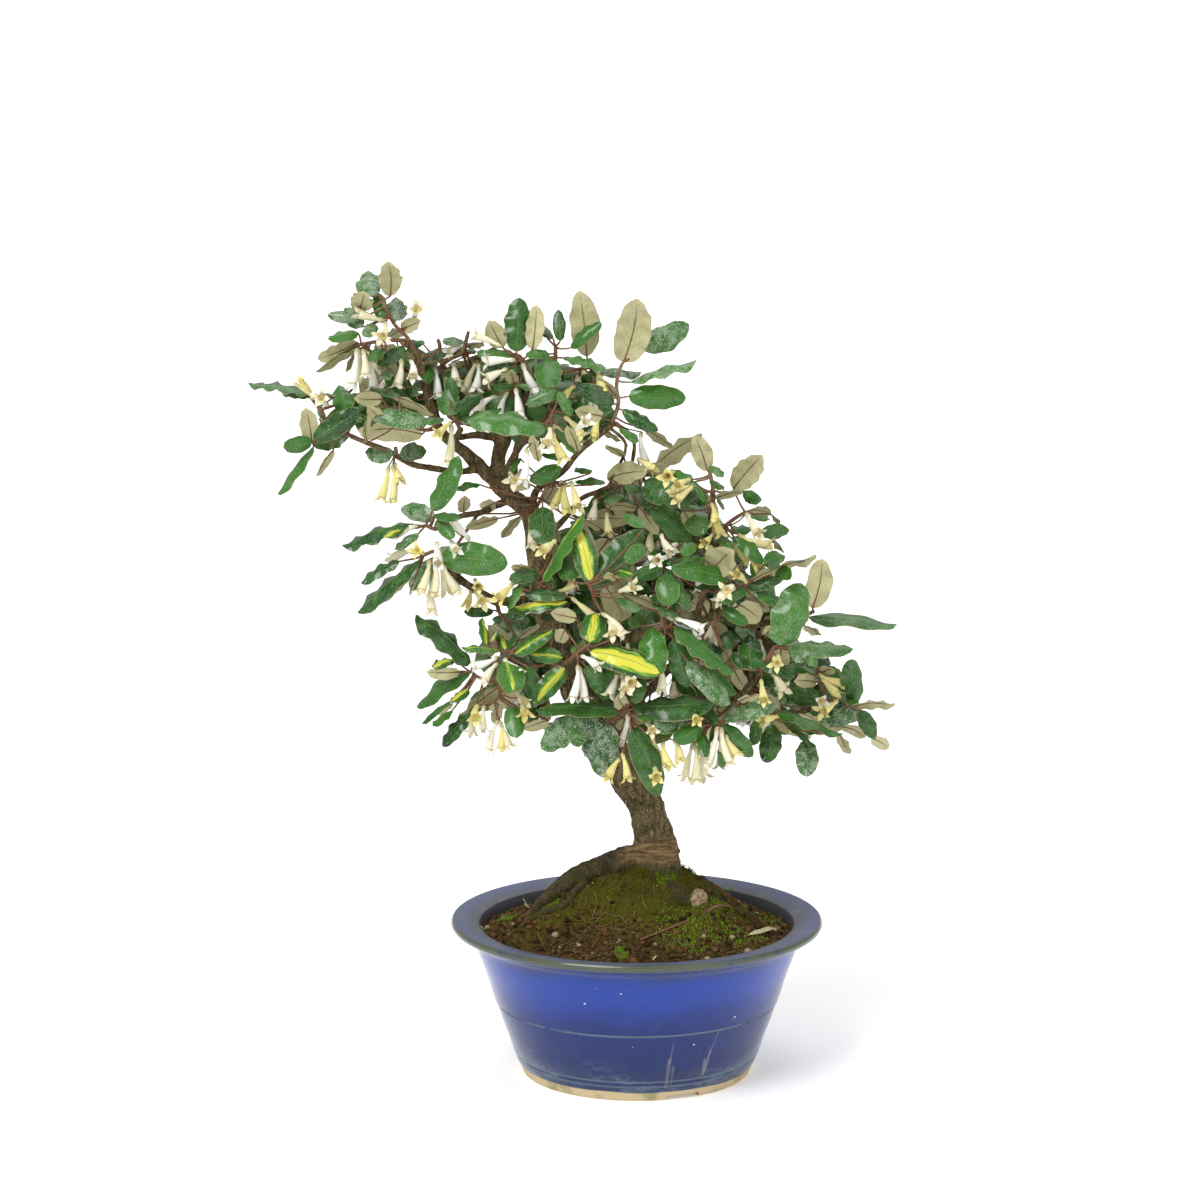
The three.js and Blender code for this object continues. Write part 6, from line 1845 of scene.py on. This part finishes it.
feed(
    surface, BaseColor=tone, Roughness=0.95, SpecularIORLevel=0.1,
    Normal=bumped(noiseAt(place, 900.0), 0.6, 0.5),
)
addPiece("crumbs", meshFrom(bm, "crumbs"), [crumb])
print("soil made")


def isOnGround(place):
    return place.xy.length < soil["reach"] and place.z <= groundAt(place.x, place.y)


# Moss: small leaning tufts, dark olive on the mound and bright in a few patches by the wall
moss = {
    "seed": 5,
    "onMound": 4200,
    "inPatches": 2400,
    "patches": [
        (67, 84.5, 12), (63, 69.5, 9), (20, 77, 10), (45, 91, 6), (38, 84, 9), (30, 70, 7), (50, 75, 8),
        (-46, 92, 5), (-70, 83, 6), (16, 104, 6), (-8, 63, 4),
    ],
    "middle": 8,
    "reach": 62,
    "tall": (0.8, 1.8),
    "slim": 0.5,
}
random = seeded(moss["seed"])
bm = newPlantMesh()
cone = bmesh.new()
bmesh.ops.create_cone(cone, cap_ends=False, segments=3, radius1=1, radius2=0.15, depth=1)
bmesh.ops.translate(cone, verts=cone.verts[:], vec=(0, 0, 0.4))
coneMesh = meshFrom(cone, "tuft")


def addTuft(x, y, tone, grown):
    tall = (moss["tall"][0] + (moss["tall"][1] - moss["tall"][0]) * random() ** 2) * grown
    lean = Matrix.Rotation(random() * 6.28, 4, "Z") @ Matrix.Rotation(0.75 * random(), 4, "X")
    size = Matrix.Diagonal((moss["slim"] * mm, moss["slim"] * mm, tall * mm, 1))
    spot = potAxis + Vector((x, y, groundAt(x, y))) * mm
    addCopy(bm, coneMesh, [0], (Matrix.Translation(spot) @ lean @ size).__matmul__, tone=tone)


for i in range(moss["onMound"]):
    angle, reach = random() * 6.283, moss["reach"] * math.sqrt(random())
    x, y = moss["middle"] + reach * math.cos(angle), moss["middle"] + reach * math.sin(angle)
    patchy = noise.noise(Vector((x, y, 0)) / 14) + 0.55 - (reach / moss["reach"]) ** 2
    if Vector((x, y)).length < 80 and patchy > 0:
        addTuft(x, y, 0.35 * random(), 0.75)
for i in range(moss["inPatches"]):
    x, z, size = moss["patches"][i % len(moss["patches"])]
    centre = (whereSeen(x, z, isOnGround) - potAxis) / mm
    angle, reach = random() * 6.283, size * random() ** 0.7
    x, y = centre.x + reach * math.cos(angle), centre.y + 1.5 * reach * math.sin(angle)
    if Vector((x, y)).length < 81:
        addTuft(x, y, 0.5 + 0.5 * random(), 1.1)
mossy, tree, surface = newMaterial("mossy")
own = attributeOf(tree, "tone")
tone = blended(stepped(own, 0.0, 0.4, False), (0.045, 0.05, 0.004), (0.13, 0.145, 0.008))
tone = blended(stepped(own, 0.45, 1.0, False), tone, (0.13, 0.27, 0.02))
feed(surface, BaseColor=tone, Roughness=0.9, SpecularIORLevel=0.1)
addPiece("moss", meshFrom(bm, "moss"), [mossy])

# Root fibres, fallen twigs, petals, a flake of bark and a seedling
litter = {
    "seed": 9,
    "fibres": 260,
    "twigs": [
        [(36, 83.5), (42, 87.5), (49.5, 88), 0.9], [(2, 69.5), (27.5, 80), 0.7], [(68, 74), (58, 71.5), 0.5],
        [(25, 70), (29, 66), (30, 62), 0.35], [(-24, 66), (-20, 71), 0.4],
    ],
    "petals": [(-58.5, 88, 8), (-57, 87, 6), (-82, 75, 6), (8.5, 58.5, 4.5)],
    "flake": [(60, 72), (77, 77)],
    "seedling": (48.5, 92),
}
random = seeded(litter["seed"])
limbs = []
for i in range(litter["fibres"]):
    angle, reach, turn = random() * 6.283, 80 * math.sqrt(random()), random() * 6.283
    x, y = reach * math.cos(angle), reach * math.sin(angle)
    long, bend = 2.2 + 3.4 * random(), random() - 0.5
    places = []
    for k in range(5):
        if Vector((x, y)).length < 80.5:
            places.append(potAxis + Vector((x, y, groundAt(x, y) + 0.3 + 1.6 * random() * (k % 2))) * mm)
        x, y, turn = x + long * math.cos(turn), y + long * math.sin(turn), turn + bend
    if len(places) > 2:
        limbs.append((places, [0.16 + 0.2 * random()] * len(places)))
fibres = tubeMesh("fibres", limbs, 0)
fibre, tree, surface = newMaterial("fibre")
place = objectPlace(tree)
tone = blended(stepped(noiseAt(place, 70.0), 0.35, 0.65), (0.06, 0.032, 0.012), (0.22, 0.14, 0.06))
feed(
    surface, BaseColor=tone, Roughness=0.9, SpecularIORLevel=0.1,
    Normal=bumped(noiseAt(place, 900.0), 0.4, 0.2),
)
addPiece("root_fibres", fibres, [fibre])

bm = newPlantMesh()
limbs = []
for *places, radius in litter["twigs"]:
    ends = [whereSeen(x, z, isOnGround) + Vector((0, 0, (0.8 + radius) * mm)) for x, z in places]
    path = smoothed(ends, 4)
    limbs.append((path, [radius * (0.8 + 0.3 * random()) for _ in path]))


def addScrap(base, tip, width, material, tone):
    aim = (tip - base).normalized()
    upper = (Vector((0.3 * random(), -0.4, 1)) - aim * aim.z).normalized()
    upper = (upper - aim * upper.dot(aim)).normalized()
    shape = leafPlace(base, tip, width, upper, upper.cross(aim), random)
    addCopy(bm, smallLeafTemplate, [material, material], shape, tone=tone)


for x, z, size in litter["petals"]:
    base = whereSeen(x, z, isOnGround) + Vector((0, 0, 0.8 * mm))
    aim = Vector((1.1 * (random() - 0.5), -0.35, 0.6)).normalized()
    addScrap(base, base + aim * size * mm, 0.3 * size * mm, 3, 0.8)
base, tip = (whereSeen(x, z, isOnGround) + Vector((0, 0, 1.6 * mm)) for x, z in litter["flake"])
addScrap(base, tip, 4.5 * mm, 1, 0.9)
base = whereSeen(*litter["seedling"], isOnGround)
top = base + Vector((1, 0, 7)) * mm
limbs.append(([base, base.lerp(top, 0.5), top], [0.3, 0.25, 0.2]))
for side in (-1, 1):
    addScrap(top, top + Vector((side * 3, -0.6, 1.2)) * mm, 2.2 * mm, 0, 1.0)
finishPlant("litter", bm, limbs, [])

# The pale end of the cut root
places, radii = limbThrough(rootPaths[2], 4)
aim = (places[-1] - places[-2]).normalized()
bm = bmesh.new()
bmesh.ops.create_uvsphere(bm, u_segments=32, v_segments=18, radius=radii[-1] * 1.12 * mm)
for vertex in bm.verts:
    vertex.co.z *= 0.55
    bump = (0.9 * noise.noise(vertex.co / (3 * mm)) + 0.5 * noise.noise(vertex.co / (1.3 * mm))) * mm
    vertex.co += vertex.co.normalized() * bump
turn = aim.to_track_quat("Z", "Y").to_matrix().to_4x4()
bmesh.ops.transform(bm, matrix=Matrix.Translation(places[-1] - aim * 0.3 * mm) @ turn, verts=bm.verts[:])
cutWood, tree, surface = newMaterial("cutWood")
place = objectPlace(tree)
fine = noiseAt(place, 500.0, 4.0, 0.7)
tone = blended(stepped(fine, 0.35, 0.65), (0.13, 0.085, 0.045), (0.4, 0.29, 0.17))
feed(surface, BaseColor=tone, Roughness=0.9, Normal=bumped(fine, 0.6, 0.5))
addPiece("cut_root_end", meshFrom(bm, "cutRootEnd"), [cutWood])
print("moss, fibres and litter laid")

# The screen over the drain hole keeps its shape
plastic, tree, surface = newMaterial("plastic")
feed(surface, BaseColor=(0.02, 0.02, 0.02), Roughness=0.6)
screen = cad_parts["drain_screen"]
screen.data.materials.clear()
screen.data.materials.append(plastic)

# Stage: a pale floor, a bright even surround that is white where it is seen itself, and soft lights, each
# with the way to it, its angle in degrees and its strength
stage = {
    "floorHalf": 60,
    "floorGlow": 0.2,
    "glow": 0.5,
    "backdrop": 1.1,
    "lights": {
        "key": ((-0.7, -1.0, 1.3), 30, 2.1),
        "fill": ((1.1, -0.9, 0.7), 60, 0.5),
        "top": ((0.1, 0.4, 1.0), 50, 0.85),
    },
}
floorMaterial, tree, surface = newMaterial("floor")
feed(
    surface, BaseColor=(0.95, 0.95, 0.95), Roughness=1.0, SpecularIORLevel=0.0,
    EmissionColor=(1.0, 1.0, 1.0), EmissionStrength=stage["floorGlow"],
)
bm = bmesh.new()
bmesh.ops.create_grid(bm, x_segments=1, y_segments=1, size=stage["floorHalf"])
floor = addObject("floor", meshFrom(bm, "floor"))
floor.data.materials.append(floorMaterial)

world = bpy.data.worlds.new("surround")
world.use_nodes = True
surround = world.node_tree
glow = surround.nodes["Background"]
fill(glow.inputs[0], (1, 1, 1))
fill(glow.inputs[1], stage["glow"])
backdrop = addNode("Background", {0: (1, 1, 1), 1: stage["backdrop"]}, surround)
seenStraight = addNode("LightPath", tree=surround)["Is Camera Ray"]
both = addNode("MixShader", {0: seenStraight, 1: Value(glow.outputs[0]), 2: backdrop[0]})
fill(surround.nodes["World Output"].inputs[0], both[0])
scene.world = world

for name, (place, angleDeg, strength) in stage["lights"].items():
    lamp = bpy.data.lights.new(name, "SUN")
    lamp.angle = math.radians(angleDeg)
    lamp.energy = strength
    addObject(name, lamp).rotation_euler = (-Vector(place)).to_track_quat("-Z", "Y").to_euler()

scene.view_settings.view_transform = "Standard"
camera = addObject("camera", bpy.data.cameras.new("camera"))
camera.data.lens = view["lens"]
camera.data.clip_start = 0.05
camera.location = eye
camera.rotation_euler = (math.radians(view["tiltDeg"]), 0, 0)
scene.camera = camera
